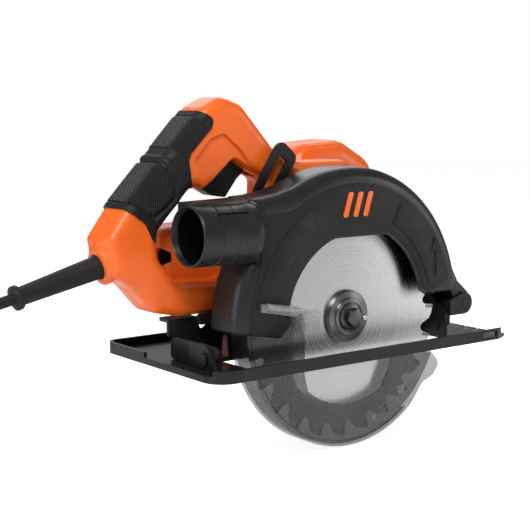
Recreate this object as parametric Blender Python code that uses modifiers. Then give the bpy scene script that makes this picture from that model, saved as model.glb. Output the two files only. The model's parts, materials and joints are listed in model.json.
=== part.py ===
"""Corded circular saw for a 190 mm blade.

All sizes are millimetres. +X is the cutting direction, +Y is the motor side and +Z is up.
Heights are measured from the sole of the shoe and y is measured from the blade's plane;
place() moves that frame so that the origin lies on the sole, abeam the blade's axis.
"""

from math import atan2, cos, degrees, pi, radians, sin, sqrt, tan

import bmesh
import bpy
from mathutils import Matrix, Vector

MM = 0.001
GAP = 0.3                      # between pieces that touch
MERGE = 0.00001

# Driving dimensions
BLADE_R = 95.0
BLADE_THICK = 1.8
CUT_DEPTH = 66.0
TEETH = 24
BLADE_Z = BLADE_R - CUT_DEPTH  # height of the blade's axis over the sole
ORIGIN_Y = 45.0                # the origin lies this far to the motor side of the blade's plane

SHOE_REAR, SHOE_FRONT = -147.0, 151.0
SHOE_NEAR, SHOE_FAR = -36.0, 116.0
SHOE_THICK = 2.5
LIP_HIGH = 9.0
OPENING_X = 102.0
OPENING_NEAR, OPENING_FAR = -12.0, 29.0

DEPTH_PIN = (124.0, 28.0)      # x, z of the pin that the head tips on
BEVEL_AXIS = (4.0, 10.0)       # y, z of the line that the head leans on
ARM_R, ARM_HALF = 205.0, 11.0  # the depth arm is an arc about the depth pin
ARM_Y = (26.5, 29.0)
ARM_CORNER = 6.0                # rounding of its upper end
SLOT_HALF = 4.0
SLOT_LOW, SLOT_HIGH = 0.8, 37.0

GUARD_R = 116.0
REAR_R, REAR_X = 112.0, -97.0  # the guard's rear limb, and its wall under the dust port
PORT_END = -95.5               # where the dust port's tube stops inside the guard
GUARD_NEAR, GUARD_FAR = -12.0, 17.0
WALL = 2.2
WINDOW_R = 66.0
PORT_R, PORT_Z, PORT_MOUTH = 22.0, 100.0, -146.0

LOWER_R = 101.0
LOWER_NEAR, LOWER_FAR = -8.5, 11.5
NOSE_END, REAR_END = -51, -204 # degrees between which the lower guard's rim is round
LOWER_WALL = 1.6
NOSE_R = 24.0                  # gear case nose that the lower guard turns on

SHAFT_AXIS = (4.0, 54.2)       # x, z of the armature
MOTOR_R = 44.0
MOTOR_Y = (48.6, 128.0)
GEAR_R, PINION_R = 20.8, 4.4

HANDLE_NEAR, HANDLE_MID, HANDLE_FAR = 34.0, 52.0, 70.0
BOOT_START = Vector((-187.0, 52.0, 77.0))
BOOT_AXIS = Vector((-67.0, 0.0, -17.0)).normalized()
BOOT_LONG = 70.0
CORD_R = 4.2
FLOOR_Z = -73.0                # the surface that the loose cord lies on, level with the guard
COIL_TURN_R, COIL_HIGH, COIL_WIDE = 46.0, 26.0, 22.0

ORANGE = ("orange_plastic", (0.85, 0.17, 0.02), 0.3, 0.0)
BLACK = ("black_plastic", (0.02, 0.02, 0.02), 0.45, 0.0)
RUBBER = ("black_rubber", (0.015, 0.015, 0.015), 0.7, 0.0)
PAINT = ("black_paint", (0.02, 0.02, 0.02), 0.35, 0.2)
STEEL = ("steel", (0.6, 0.6, 0.6), 0.3, 1.0)
DARK_STEEL = ("dark_steel", (0.08, 0.08, 0.08), 0.4, 0.8)
SMOKE = ("smoke_plastic", (0.12, 0.12, 0.13), 0.1, 0.0)
CLEAR = ("clear_plastic", (0.7, 0.7, 0.72), 0.1, 0.0)
COPPER = ("copper", (0.6, 0.25, 0.1), 0.35, 1.0)
BRASS = ("brass", (0.7, 0.5, 0.2), 0.35, 1.0)
GREY_METAL = ("cast_metal", (0.45, 0.45, 0.46), 0.5, 0.9)
CARBON = ("carbon", (0.03, 0.03, 0.03), 0.8, 0.0)

for old in list(bpy.data.objects):
    bpy.data.objects.remove(old)
PARTS = bpy.data.collections.new("circular_saw")
CUTTERS = bpy.data.collections.new("cutters")
bpy.context.scene.collection.children.link(PARTS)
bpy.context.scene.collection.children.link(CUTTERS)


# ---------------------------------------------------------------- helpers

def place(x, y, z):
    """A point of the saw's own millimetre frame as a world position."""
    return Vector((x, y - ORIGIN_Y, z)) * MM


def material(look):
    """The named look as a material, made the first time that it is asked for."""
    name, colour, roughness, metallic = look
    found = bpy.data.materials.get(name)
    if found:
        return found
    made = bpy.data.materials.new(name)
    made.use_nodes = True
    shader = made.node_tree.nodes["Principled BSDF"]
    shader.inputs["Base Color"].default_value = (*colour, 1.0)
    shader.inputs["Roughness"].default_value = roughness
    shader.inputs["Metallic"].default_value = metallic
    return made


def arc(centre, radius, start, end, steps=12):
    """Points on a circle from one angle to another, in degrees."""
    turn = [radians(start + (end - start) * n / steps) for n in range(steps + 1)]
    return [(centre[0] + radius * cos(a), centre[1] + radius * sin(a)) for a in turn]


def circle(centre, radius, steps=32):
    """A closed circle."""
    return arc(centre, radius, 0, 360, steps)[:-1]


def box(low_u, high_u, low_v, high_v):
    """A closed rectangle."""
    return [(low_u, low_v), (high_u, low_v), (high_u, high_v), (low_u, high_v)]


def rounded(corners, steps=5):
    """An outline from (u, v, radius) corners, each one turned into an arc."""
    out = []
    for n, (u, v, radius) in enumerate(corners):
        here = Vector((u, v))
        if radius == 0:
            out.append((u, v))
            continue
        back = (Vector(corners[n - 1][:2]) - here).normalized()
        ahead = (Vector(corners[(n + 1) % len(corners)][:2]) - here).normalized()
        half = back.angle(ahead) / 2
        middle = here + (back + ahead).normalized() * radius / sin(half)
        first = here + back * radius / tan(half) - middle
        last = here + ahead * radius / tan(half) - middle
        start = atan2(first.y, first.x)
        sweep = (atan2(last.y, last.x) - start + pi) % (2 * pi) - pi
        out += arc(middle, radius, degrees(start), degrees(start + sweep), steps)
    return out


AXES = {
    "X": Matrix(((0, 0, 1), (1, 0, 0), (0, 1, 0))),      # outline in y, z
    "Y": Matrix(((1, 0, 0), (0, 0, -1), (0, 1, 0))),     # outline in x, z
    "Z": Matrix(((1, 0, 0), (0, 1, 0), (0, 0, 1))),      # outline in x, y
}


def finish(obj, look, smooth=35):
    """Gives a piece its material and shading and puts it in the collection."""
    obj.data.materials.clear()
    obj.data.materials.append(material(look))
    obj.data.shade_smooth()
    obj.data.set_sharp_from_angle(angle=radians(smooth))
    return obj


def plate(name, look, axis, loops, low, high, bevel=0.0, segments=1):
    """A flat outline with holes, made thick along one axis from low to high."""
    curve = bpy.data.curves.new(name, "CURVE")
    curve.dimensions = "2D"
    curve.fill_mode = "BOTH"
    curve.extrude = (high - low) / 2 * MM
    for loop in loops:
        spline = curve.splines.new("POLY")
        spline.points.add(len(loop) - 1)
        spline.use_cyclic_u = True
        for point, (u, v) in zip(spline.points, loop):
            point.co = (u * MM, v * MM, 0, 1)
    middle = (low + high) / 2
    spot = {"X": (middle, 0, 0), "Y": (0, middle, 0), "Z": (0, 0, middle)}[axis]
    holder = bpy.data.objects.new(name + "_curve", curve)
    holder.matrix_world = Matrix.Translation(place(*spot)) @ AXES[axis].to_4x4()
    PARTS.objects.link(holder)
    bpy.context.view_layer.update()
    evaluated = holder.evaluated_get(bpy.context.evaluated_depsgraph_get())
    mesh = bpy.data.meshes.new_from_object(evaluated)
    mesh.transform(holder.matrix_world)
    bpy.data.objects.remove(holder)
    work = bmesh.new()
    work.from_mesh(mesh)
    bmesh.ops.remove_doubles(work, verts=work.verts, dist=MERGE)
    bmesh.ops.recalc_face_normals(work, faces=work.faces)
    bmesh.ops.dissolve_limit(work, angle_limit=0.01, verts=work.verts, edges=work.edges)
    work.to_mesh(mesh)
    work.free()
    made = bpy.data.objects.new(name, mesh)
    PARTS.objects.link(made)
    if bevel:
        soft = made.modifiers.new("edge", "BEVEL")
        soft.width = bevel * MM
        soft.segments = segments
        soft.limit_method = "ANGLE"
        soft.angle_limit = radians(40)
    return finish(made, look)


def turned(name, look, spot, profile, axis=(0, 1, 0), steps=32):
    """A turned piece: (radius, height) runs from the top down its outer side, about an axis."""
    mesh = bpy.data.meshes.new(name)
    rings = [(radius * MM, 0, height * MM) for radius, height in profile]
    edges = [(n, n + 1) for n in range(len(rings) - 1)]
    if profile[0][0] > 0:
        edges.append((len(rings) - 1, 0))
    mesh.from_pydata(rings, edges, [])
    made = bpy.data.objects.new(name, mesh)
    PARTS.objects.link(made)
    made.location = place(*spot)
    made.rotation_euler = Vector((0, 0, 1)).rotation_difference(Vector(axis)).to_euler()
    screw = made.modifiers.new("turn", "SCREW")
    screw.steps = steps
    screw.render_steps = steps
    screw.use_merge_vertices = True
    screw.merge_threshold = MERGE
    return finish(settle(made), look)


def ring(name, look, spot, inner, outer, long, axis=(0, 1, 0), steps=32):
    """A plain ring or, with no inner radius, a plain disc that starts at its spot."""
    profile = [(inner, long), (outer, long), (outer, 0), (inner, 0)]
    return turned(name, look, spot, profile, axis, steps)


def tube(name, look, points, radius, resolution=2):
    """A round bar through a list of points."""
    curve = bpy.data.curves.new(name, "CURVE")
    curve.dimensions = "3D"
    curve.bevel_depth = radius * MM
    curve.bevel_resolution = resolution
    curve.use_fill_caps = True
    spline = curve.splines.new("POLY")
    spline.points.add(len(points) - 1)
    for point, spot in zip(spline.points, points):
        point.co = (*place(*spot), 1)
    made = bpy.data.objects.new(name, curve)
    PARTS.objects.link(made)
    curve.materials.append(material(look))
    return made


def settle(obj):
    """Applies a piece's modifiers, so that it can be cut or joined."""
    bpy.context.view_layer.update()
    evaluated = obj.evaluated_get(bpy.context.evaluated_depsgraph_get())
    mesh = bpy.data.meshes.new_from_object(evaluated)
    work = bmesh.new()
    work.from_mesh(mesh)
    bmesh.ops.remove_doubles(work, verts=work.verts, dist=MERGE)
    work.to_mesh(mesh)
    work.free()
    old = obj.data
    obj.modifiers.clear()
    obj.data = mesh
    bpy.data.meshes.remove(old)
    return obj


def combine(obj, others, operation="DIFFERENCE"):
    """Cuts other shapes out of a piece or joins them to it, and hides the shapes."""
    for other in others:
        PARTS.objects.unlink(other)
        CUTTERS.objects.link(other)
        other.hide_render = True
        other.display_type = "WIRE"
        step = obj.modifiers.new(operation.lower(), "BOOLEAN")
        step.operation = operation
        step.object = other
        step.solver = "EXACT"
    return obj


def cutter(axis, loops, low, high):
    """A prism that only cuts."""
    return plate("cutter", BLACK, axis, loops, low, high)


def drill(spot, radius, long, axis=(0, 1, 0), steps=24):
    """A round bar that only cuts, starting at a spot."""
    return ring("drill", BLACK, spot, 0, radius, long, axis, steps)


def joint_at(obj, spot):
    """Moves a piece's origin onto its joint's axis and leaves its shape in place."""
    bpy.context.view_layer.update()
    target = place(*spot)
    obj.data.transform(Matrix.Translation(-target) @ obj.matrix_world)
    obj.matrix_world = Matrix.Translation(target)
    return obj


# ---------------------------------------------------------------- shoe

def make_shoe():
    """Stamped steel shoe: a flat sole with a turned-up lip on three sides."""
    near_corner = (SHOE_FRONT - 14, SHOE_NEAR, 3)
    outline = rounded([
        (SHOE_REAR, SHOE_NEAR, 16), near_corner, (SHOE_FRONT, SHOE_NEAR + 6, 2),
        (SHOE_FRONT, SHOE_FAR, 6), (SHOE_REAR, SHOE_FAR, 10),
    ])
    shoe = plate("shoe", PAINT, "Z", [outline], 0, LIP_HIGH)
    lip = 2.5
    inside = rounded([
        (SHOE_REAR + lip, SHOE_NEAR + lip, 13.5), (SHOE_FRONT + 9, SHOE_NEAR + lip, 0),
        (SHOE_FRONT + 9, SHOE_FAR - lip, 0), (SHOE_REAR + lip, SHOE_FAR - lip, 7.5),
    ])
    tray = cutter("Z", [inside], SHOE_THICK, LIP_HIGH + 5)
    opening = rounded([
        (-OPENING_X, OPENING_NEAR, 4), (OPENING_X, OPENING_NEAR, 4),
        (OPENING_X, OPENING_FAR, 4), (-OPENING_X, OPENING_FAR, 4),
    ])
    slot = cutter("Z", [opening], -5, LIP_HIGH + 5)
    low_lip = cutter("X", [box(-28, 58, 5, 20)], SHOE_REAR - 5, SHOE_REAR + 8)
    fence = cutter("X", [box(SHOE_NEAR - 5, SHOE_FAR + 5, 2.9, 7)], 119, 135)
    notches = [cutter("Z", [box(SHOE_FRONT - 5, SHOE_FRONT + 5, y - 1.5, y + 1.5)], -5, 10)
               for y in (0.0, 13.5)]
    return combine(shoe, [tray, slot, low_lip, fence, *notches])


def bevel_plate(top, near, far):
    """Outline in y, z of a plate that leans with the bevel without touching the shoe."""
    return rounded([
        (BEVEL_AXIS[0] - 2.5, 3.2, 0), (far, 3.2, 3), (far, top, 6), (near, top, 4),
        (near, BEVEL_AXIS[1] + 2.4, 0),
    ], 3)


def make_shoe_brackets():
    """Upright tabs on the shoe that carry the bevel pins, and the pins."""
    foot = SHOE_THICK + GAP
    pin_hole = circle(BEVEL_AXIS, 3.4, 20)
    rear = rounded([(-10.5, foot, 0), (22, foot, 0), (22, 21, 2), (2, 21, 7), (-3, 16, 3)], 4)
    plate("rear_bevel_tab", PAINT, "X", [rear, pin_hole], -130, -127.5)
    slot_r, slot_half = 30.0, 3.3
    slot = (arc(BEVEL_AXIS, slot_r + slot_half, -8, 54, 12)
            + arc(BEVEL_AXIS, slot_r - slot_half, 54, -8, 12))
    sector = [(-8, foot), (44, foot)] + arc(BEVEL_AXIS, 38, -2, 60, 12) + [(10, 36), (2, 30), (-8, 21)]
    plate("front_bevel_quadrant", PAINT, "X", [sector, pin_hole, slot], 102.8, 105.3)
    for name, start in (("rear_bevel_pin", -132.2), ("front_bevel_pin", 101.1)):
        profile = [(0, 9.2), (4.8, 9.2), (4.8, 8.0), (3.1, 7.9), (3.1, 1.5), (5.2, 1.4), (5.2, 0),
                   (0, 0)]
        turned(name, STEEL, (start, *BEVEL_AXIS), profile, (1, 0, 0), 20)


def make_fence_screw():
    """Thumb screw that holds a rip fence in the slots across the shoe."""
    head = [(0, 21), (6, 21), (7.5, 19.5), (7.5, 12), (3.9, 11.5), (2.9, 11), (2.9, SHOE_THICK + GAP),
            (0, SHOE_THICK + GAP)]
    screw = turned("fence_screw", STEEL, (127, 84, 0), head, (0, 0, 1), 24)
    wing = cutter("Y", [rounded([(112, 12.6, 3), (142, 12.6, 3), (142, 20, 3), (112, 20, 3)])], 82, 86)
    return combine(screw, [wing], "UNION")


# ---------------------------------------------------------------- bevel carriage

def make_carriage():
    """Stampings that lean on the bevel pins and carry the depth pin and the depth arm."""
    strap = [(-124.4, 24), (98, 24), (98, 45.6), (105.7, 45.6), (105.7, 52), (-124.4, 52)]
    plate("rail_strap", PAINT, "Z", [strap], 3.0, 5.0)
    pin_hole = circle(BEVEL_AXIS, 3.4, 20)
    front = bevel_plate(32, -8, 52)
    bolt_hole = circle((BEVEL_AXIS[0] + 30, BEVEL_AXIS[1]), 3.3, 16)
    bracket = plate("front_bracket", PAINT, "X", [front, pin_hole, bolt_hole], 106, 108.5)
    pin_x, pin_z = DEPTH_PIN
    cheek = [(107, pin_z - 9), *arc(DEPTH_PIN, 9, -90, 90, 10), (107, pin_z + 4), (107, pin_z - 9)]
    cheeks = [cutter("Y", [cheek[:-1], circle(DEPTH_PIN, 4.3, 16)], low, low + 2.5)
              for low in (-9.5, 17.0)]
    combine(bracket, cheeks, "UNION")
    rear = bevel_plate(20, -8, 52)
    plate("rear_bracket", PAINT, "X", [rear, pin_hole], -127.2, -124.7)
    wall = rounded([
        (-124.1, 5.3, 0), (-88, 5.3, 0), (-84, 35.5, 2), (-90, 35.5, 2), (-107, 23, 2), (-110, 33.2, 0),
        (-136, 33.2, 0), (-136, 21, 3), (-124.1, 20.6, 0),
    ], 3)
    rest = plate("rear_rest", PAINT, "Y", [wall], 41.5, 44.0)
    flange = cutter("Z", [rounded([(-136, 41.5, 0), (-110, 41.5, 0), (-110, 56, 3), (-136, 56, 3)], 3)],
                    32, 34.5)
    combine(rest, [flange], "UNION")
    profile = [(0, 31.5), (6.5, 31.5), (6.5, 29.7), (4.0, 29.6), (4.0, 0.1), (0, 0)]
    turned("depth_pin", STEEL, (pin_x, -9.8, pin_z), profile, (0, 1, 0), 24)


def make_depth_arm():
    """Slotted arc about the depth pin, standing on the rail beside the guard."""
    start, end = 186.4, 180 - SLOT_HIGH - 2.6
    outer = [(x, z, 0) for x, z in arc(DEPTH_PIN, ARM_R + ARM_HALF, start, end, 20)]
    inner = [(x, z, 0) for x, z in arc(DEPTH_PIN, ARM_R - ARM_HALF, end, start, 20)]
    outer[-1] = (*outer[-1][:2], ARM_CORNER)
    inner[0] = (*inner[0][:2], ARM_CORNER)
    slot = (arc(DEPTH_PIN, ARM_R + SLOT_HALF, 180 - SLOT_LOW, 180 - SLOT_HIGH, 16)
            + arc(DEPTH_PIN, ARM_R - SLOT_HALF, 180 - SLOT_HIGH, 180 - SLOT_LOW, 16))
    arm = plate("depth_arm", PAINT, "Y", [rounded(outer + inner), slot], *ARM_Y)
    return combine(arm, [cutter("Z", [box(-140, 0, 0, 60)], -20, 5.3)])


# ---------------------------------------------------------------- guards

def guard_outline(inset=0.0):
    """Outline in x, z of the upper guard from its front foot over the top to its rear foot."""
    radius = GUARD_R - inset
    centre = (0, BLADE_Z)
    port_top = PORT_Z + 25 - inset
    over = arc(centre, radius, 8, 112, 24)
    last = over[-1]
    swell = [(last[0] - 12, last[1] - 5.5), (last[0] - 26, port_top + 3.4), (last[0] - 40, port_top + 0.8)]
    limb = arc(centre, REAR_R - inset, 153, 181, 8)
    return [*over, *swell, (REAR_X + inset, port_top), (REAR_X + inset, limb[0][1]), *limb]


def guard_window():
    """Edge of the window in the guard's cover, from the rear foot to the front foot."""
    centre = (0, BLADE_Z)
    left = arc(centre, WINDOW_R, 166, 108, 8)
    right = arc(centre, WINDOW_R + 5, 62, 12, 8)
    return [(-73, 21), (-64, 29), *left, *right, (77, 39.5)]


def make_upper_guard():
    """Moulded guard: far wall, rim, dust port and the lug on the depth pin."""
    front_foot = [(107, 40.5)]
    shell = plate("upper_guard", BLACK, "Y",
                  [guard_outline() + [(-73, 21), (-24, 21), (24, 21), (60, 39.5)] + front_foot],
                  GUARD_NEAR + 2.3, GUARD_FAR)
    hollow = cutter("Y", [[*guard_outline(WALL), (WALL - REAR_R, -5), (113, -5), (113, 42)]],
                    GUARD_NEAR - 5, GUARD_FAR - WALL)
    port = ring("port", BLACK, (PORT_MOUTH, 0, PORT_Z), 0, PORT_R, PORT_END - PORT_MOUTH, (1, 0, 0), 40)
    bore = drill((PORT_MOUTH - 5, 0, PORT_Z), PORT_R - 1.8, PORT_END - PORT_MOUTH + 2.5, (1, 0, 0), 40)
    passage = cutter("Y", [box(PORT_END - 5, PORT_END + 6, PORT_Z - 15, PORT_Z + 15)], -8, 12)
    roof = cutter("Y", [box(PORT_MOUTH + 1, REAR_X + 1, PORT_Z + 17, PORT_Z + 24)], -4.7, 13)
    pin_x, pin_z = DEPTH_PIN
    lug = cutter("Y", [[(100, 42), (109.8, 40.5), (115.5, 30), *arc(DEPTH_PIN, 8.2, 180, 360, 12),
                        (130, 37), (118, 47), (108, 64)]], -6.5, 16.5)
    pin = drill((pin_x, -15, pin_z), 4.3, 40)
    nose = drill((0, 10, BLADE_Z), NOSE_R + GAP, 20, steps=40)
    below = cutter("Y", [[(-23, 5), (23, 5), (23, 29), (-23, 29)]], 14, 20)
    combine(shell, [port, roof, lug], "UNION")
    settle(shell)
    return combine(shell, [hollow, bore, passage, pin, nose, below])


def make_guard_cover():
    """Near wall of the upper guard, with the window over the blade."""
    outline = guard_outline() + guard_window() + [(107, 40.5)]
    cover = plate("guard_cover", BLACK, "Y", [outline], GUARD_NEAR, GUARD_NEAR + 2)
    port = drill((PORT_MOUTH - 5, 0, PORT_Z), PORT_R + GAP, PORT_END - PORT_MOUTH + 5 + GAP, (1, 0, 0), 40)
    combine(cover, [port])


def make_lower_guard():
    """Clear guard that swings round the blade: two walls and a rim."""
    centre = (0, BLADE_Z)
    outer = arc(centre, LOWER_R, NOSE_END, REAR_END, 34)
    hub_side = [(-20, BLADE_Z + 26), (20, BLADE_Z + 26), (40, -4)]
    nose = rounded([(86, -8, 0), (96.5, -19, 5), (89, -28.5, 5), (77, -33, 9), (66.5, -46.5, 0)], 4)
    body = plate("lower_guard", SMOKE, "Y", [outer + hub_side + nose], LOWER_NEAR, LOWER_FAR)
    inside = (arc(centre, LOWER_R - LOWER_WALL, NOSE_END - 4, NOSE_END - 290, 56)
              + arc(centre, BLADE_R + 1.2, NOSE_END - 290, NOSE_END - 364, 14))
    hollow = cutter("Y", [inside], LOWER_NEAR + LOWER_WALL, LOWER_FAR - LOWER_WALL)
    sight = [(-47, 120), (-47, -10), *arc(centre, 68, -130, -62, 10), (41, -14), (41, 120)]
    window = cutter("Y", [sight], LOWER_NEAR - 5, LOWER_FAR - LOWER_WALL)
    over_lever = cutter("Y", [box(-120, -40, 36, 120)], LOWER_NEAR - 5, LOWER_NEAR + LOWER_WALL + 0.4)
    hub = drill((0, 5, BLADE_Z), NOSE_R + GAP, 15, steps=40)
    combine(body, [hollow, window, over_lever, hub])
    return joint_at(settle(body), (0, 0, BLADE_Z))


def make_guard_lever():
    """Hand lever on the lower guard, standing out past the upper guard's cover."""
    side = [(-92, 49), (-92, 43), (-58, 36), (-53, 22), (-38, 22), (-38, 34), (-62, 44)]
    lever = plate("guard_lever", CLEAR, "Y", [side], -15.6, -13.4)
    shelf = cutter("Y", [[(-91, 47.5), (-91, 45.3), (-61, 40), (-61, 42.2)]], -23, -14.2)
    leg = cutter("Y", [box(-52.5, -48, 23, 33)], -14.4, LOWER_NEAR - GAP)
    combine(lever, [shelf, leg], "UNION")
    return joint_at(settle(lever), (0, 0, BLADE_Z))


# ---------------------------------------------------------------- blade and spindle

# One tooth, as shares of the pitch behind its tip and of the blade's radius
TOOTH = ((0.0, 1.0), (0.35, 0.985), (0.5, 0.955), (0.72, 0.89), (0.88, 0.885), (0.985, 0.92))


def make_blade():
    """Saw blade with hooked teeth and a plain bore."""
    loop = []
    pitch = 360 / TEETH
    for tooth in range(TEETH):
        for ahead, radius in TOOTH:
            a = -radians((tooth + ahead) * pitch)
            loop.append((BLADE_R * radius * cos(a), BLADE_Z + BLADE_R * radius * sin(a)))
    blade = plate("blade", STEEL, "Y", [loop, circle((0, BLADE_Z), 8.0, 32)],
                  -BLADE_THICK / 2, BLADE_THICK / 2)
    return joint_at(blade, (0, 0, BLADE_Z))


def make_spindle():
    """Output spindle with its gear, the two flanges and the blade bolt."""
    side = BLADE_THICK / 2
    shaft = [(0, 44), (5.0, 44), (5.0, 36.3), (7.7, 36), (7.7, -side - 0.1), (4.1, -side - 0.1), (4.1, 18),
             (0, 18)]
    turned("spindle", STEEL, (0, 0, BLADE_Z), shaft, steps=24)
    ring("inner_flange", DARK_STEEL, (0, side + GAP, BLADE_Z), 8.0, 20, 6.4)
    outer = [(4.1, -side - GAP), (16, -side - GAP), (20.5, -side - 1.2), (20.5, -3.8), (18.5, -5), (4.1, -5)]
    turned("outer_flange", DARK_STEEL, (0, 0, BLADE_Z), outer, steps=40)
    head = [(0, 15), (3.8, 15), (3.8, -5.3), (10.5, -5.3), (10.5, -6.8), (7.4, -6.9), (6.6, -12.5),
            (0, -12.5)]
    bolt = turned("blade_bolt", DARK_STEEL, (0, 0, BLADE_Z), head, steps=24)
    flats = [(13 / sqrt(3) * cos(radians(60 * n)), BLADE_Z + 13 / sqrt(3) * sin(radians(60 * n)))
             for n in range(6)]
    combine(bolt, [cutter("Y", [flats], -12.3, -6.2)], "UNION")
    gear_wheel("driven_gear", (0, BLADE_Z), GEAR_R, 42, 24, 33, bore=8.0)
    for name in ("spindle", "inner_flange", "outer_flange", "blade_bolt", "driven_gear"):
        joint_at(settle(bpy.data.objects[name]), (0, 0, BLADE_Z))


def gear_wheel(name, centre, radius, teeth, low, high, bore=0.0):
    """A spur gear of an outer radius, on a shaft's axis."""
    loop = []
    for tooth in range(teeth):
        for part, reach in ((0.0, 1.0), (0.3, 1.0), (0.5, 0.93), (0.8, 0.93)):
            a = 2 * pi * (tooth + part) / teeth
            loop.append((centre[0] + radius * reach * cos(a), centre[1] + radius * reach * sin(a)))
    loops = [loop, circle(centre, bore, 20)] if bore else [loop]
    return plate(name, DARK_STEEL, "Y", loops, low, high)


# ---------------------------------------------------------------- gear case and motor

def make_gear_case():
    """Cast case round the two gears, with the nose that carries the spindle."""
    x, z = SHAFT_AXIS
    spindle = (0, BLADE_Z)
    case = plate("gear_case", GREY_METAL, "Y",
                 [[*arc(spindle, 23.5, 180, 360, 18), *arc(SHAFT_AXIS, 32, 0, 180, 18)]],
                 GUARD_FAR + GAP, 44.0)
    nose = ring("nose", BLACK, (0, 9.2, BLADE_Z), 0, NOSE_R, 12, steps=40)
    combine(case, [nose], "UNION")
    settle(case)
    room = cutter("Y", [[*arc(spindle, 21.3, 180, 360, 18), *arc(SHAFT_AXIS, 29.5, 0, 180, 18)]], 21, 60)
    bore = drill((0, 5, BLADE_Z), 9, 30)
    seat = drill((0, 12, BLADE_Z), 16, 10)
    button = drill((10, 39, BLADE_Z + 3), 3.8, 30, (1, 0, 0))
    combine(case, [room, bore, seat, button])
    cover = plate("gear_plate", GREY_METAL, "Y",
                  [[*arc(spindle, 23.5, 180, 360, 18), *arc(SHAFT_AXIS, 32, 0, 180, 18)],
                   circle(SHAFT_AXIS, 9.3, 24)], 44.3, 48.3)
    combine(cover, [drill((0, 40, BLADE_Z), 9.3, 6.5)])
    ring("spindle_bearing_front", STEEL, (0, 12.3, BLADE_Z), 8.0, 15.7, 8, steps=32)
    ring("spindle_bearing_rear", STEEL, (0, 38.0, BLADE_Z), 5.3, 9.0, 8, steps=24)
    ring("shaft_bearing_front", STEEL, (x, 43.5, z), 4.3, 9.0, 5, steps=24)
    ring("guard_retainer", STEEL, (0, 8.0, BLADE_Z), NOSE_R - 6, NOSE_R + 2.6, 0.9)
    ring("guard_spring", STEEL, (0, 12.0, BLADE_Z), NOSE_R + 0.6, NOSE_R + 3.2, 2.2, steps=32)


def make_armature():
    """Turning part of the motor: shaft, core, commutator, fan and pinion."""
    x, z = SHAFT_AXIS
    shaft = turned("armature_shaft", STEEL, (x, 0, z), [(0, 132), (4, 132), (4, 21.5), (0, 21.5)], steps=20)
    combine(shaft, [gear_wheel("pinion", SHAFT_AXIS, PINION_R, 9, 23, 34)], "UNION")
    ring("armature_core", DARK_STEEL, (x, 66, z), 4.3, 25, 36, steps=32)
    ring("commutator", COPPER, (x, 104, z), 4.3, 12, 13, steps=24)
    hub = ring("fan", BLACK, (x, 51, z), 4.3, 38, 2, steps=32)
    blades = []
    for n in range(9):
        a = 2 * pi * n / 9
        rib = cutter("Y", [[(x + 12 * cos(a), z + 12 * sin(a)),
                            (x + 37 * cos(a + 0.3), z + 37 * sin(a + 0.3)),
                            (x + 37 * cos(a + 0.36), z + 37 * sin(a + 0.36)),
                            (x + 12 * cos(a + 0.18), z + 12 * sin(a + 0.18))]], 52, 60)
        blades.append(rib)
    combine(hub, blades, "UNION")
    for name in ("armature_shaft", "armature_core", "commutator", "fan"):
        joint_at(settle(bpy.data.objects[name]), (x, 0, z))


def make_motor():
    """Motor housing with stator, brushes and end cap."""
    x, z = SHAFT_AXIS
    low, high = MOTOR_Y
    wall = 2.5
    profile = [(MOTOR_R - wall, high), (MOTOR_R - 1, high), (MOTOR_R, high - 1), (MOTOR_R, low),
               (MOTOR_R - wall, low)]
    housing = turned("motor_housing", ORANGE, (x, 0, z), profile, steps=64)
    vents = [cutter("Z", [rounded([(x - 24, y, 1.4), (x + 24, y, 1.4), (x + 24, y + 3, 1.4),
                                   (x - 24, y + 3, 1.4)], 3)], 0, 20) for y in (56, 64, 72)]
    brush_ports = [drill((x - 50, 110.5, z), 6.3, 100, (1, 0, 0))]
    combine(housing, vents + brush_ports)
    ring("stator", DARK_STEEL, (x, 62, z), 26, MOTOR_R - wall - GAP, 40, steps=48)
    end = [(0, high + 15), (20, high + 15), (36, high + 11), (MOTOR_R - 2, high + 5),
           (MOTOR_R - 0.5, high + GAP),
           (MOTOR_R - 3, high + GAP), (34, high + 8.5), (11.5, high + 11.5), (11.5, high - 2), (8.4, high - 2),
           (8.4, high + 5.5), (0, high + 5.5)]
    cap = turned("motor_end_cap", BLACK, (x, 0, z), end, steps=48)
    slots = []
    for n in range(8):
        a = 2 * pi * (n + 0.5) / 8
        across = Vector((-sin(a), cos(a))) * 1.6
        start, stop = Vector((cos(a), sin(a))) * 16, Vector((cos(a), sin(a))) * 31
        corners = [start - across, stop - across, stop + across, start + across]
        slots.append(cutter("Y", [[(x + c.x, z + c.y) for c in corners]], high + 2, high + 20))
    combine(cap, slots)
    ring("shaft_bearing_rear", STEEL, (x, high - 2, z), 4.3, 8.1, 5, steps=24)
    for side, name in ((-1, "rear"), (1, "front")):
        def along(near, far):
            return sorted((x + side * near, x + side * far))
        holder = plate("brush_holder_" + name, BRASS, "X",
                       [box(105, 116, z - 6, z + 6), box(107, 114, z - 4, z + 4)], *along(18, 37))
        plate("brush_" + name, CARBON, "X", [box(107.3, 113.7, z - 3.7, z + 3.7)], *along(12.3, 30))
        turned("brush_cap_" + name, BLACK, (x + side * 37.4, 110.5, z),
               [(0, 7.6), (4, 7.6), (6, 6.6), (6, 0), (0, 0)], (side, 0, 0), 20)


# ---------------------------------------------------------------- handle

def handle_outline():
    """Outer outline in x, z of the handle's halves."""
    return rounded([
        (-128, 36.3, 10), (-150, 41, 8), (-167, 60, 6), (-186, 72, 4), (-190, 97, 5), (-172, 121, 16),
        (-106, 190, 14), (-90, 198, 12), (-72, 192, 18), (-40, 157, 20), (-16, 148, 14), (36, 148, 14),
        (48, 120, 6), (48, 54, 0), (-30, 36.3, 4),
    ])


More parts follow.
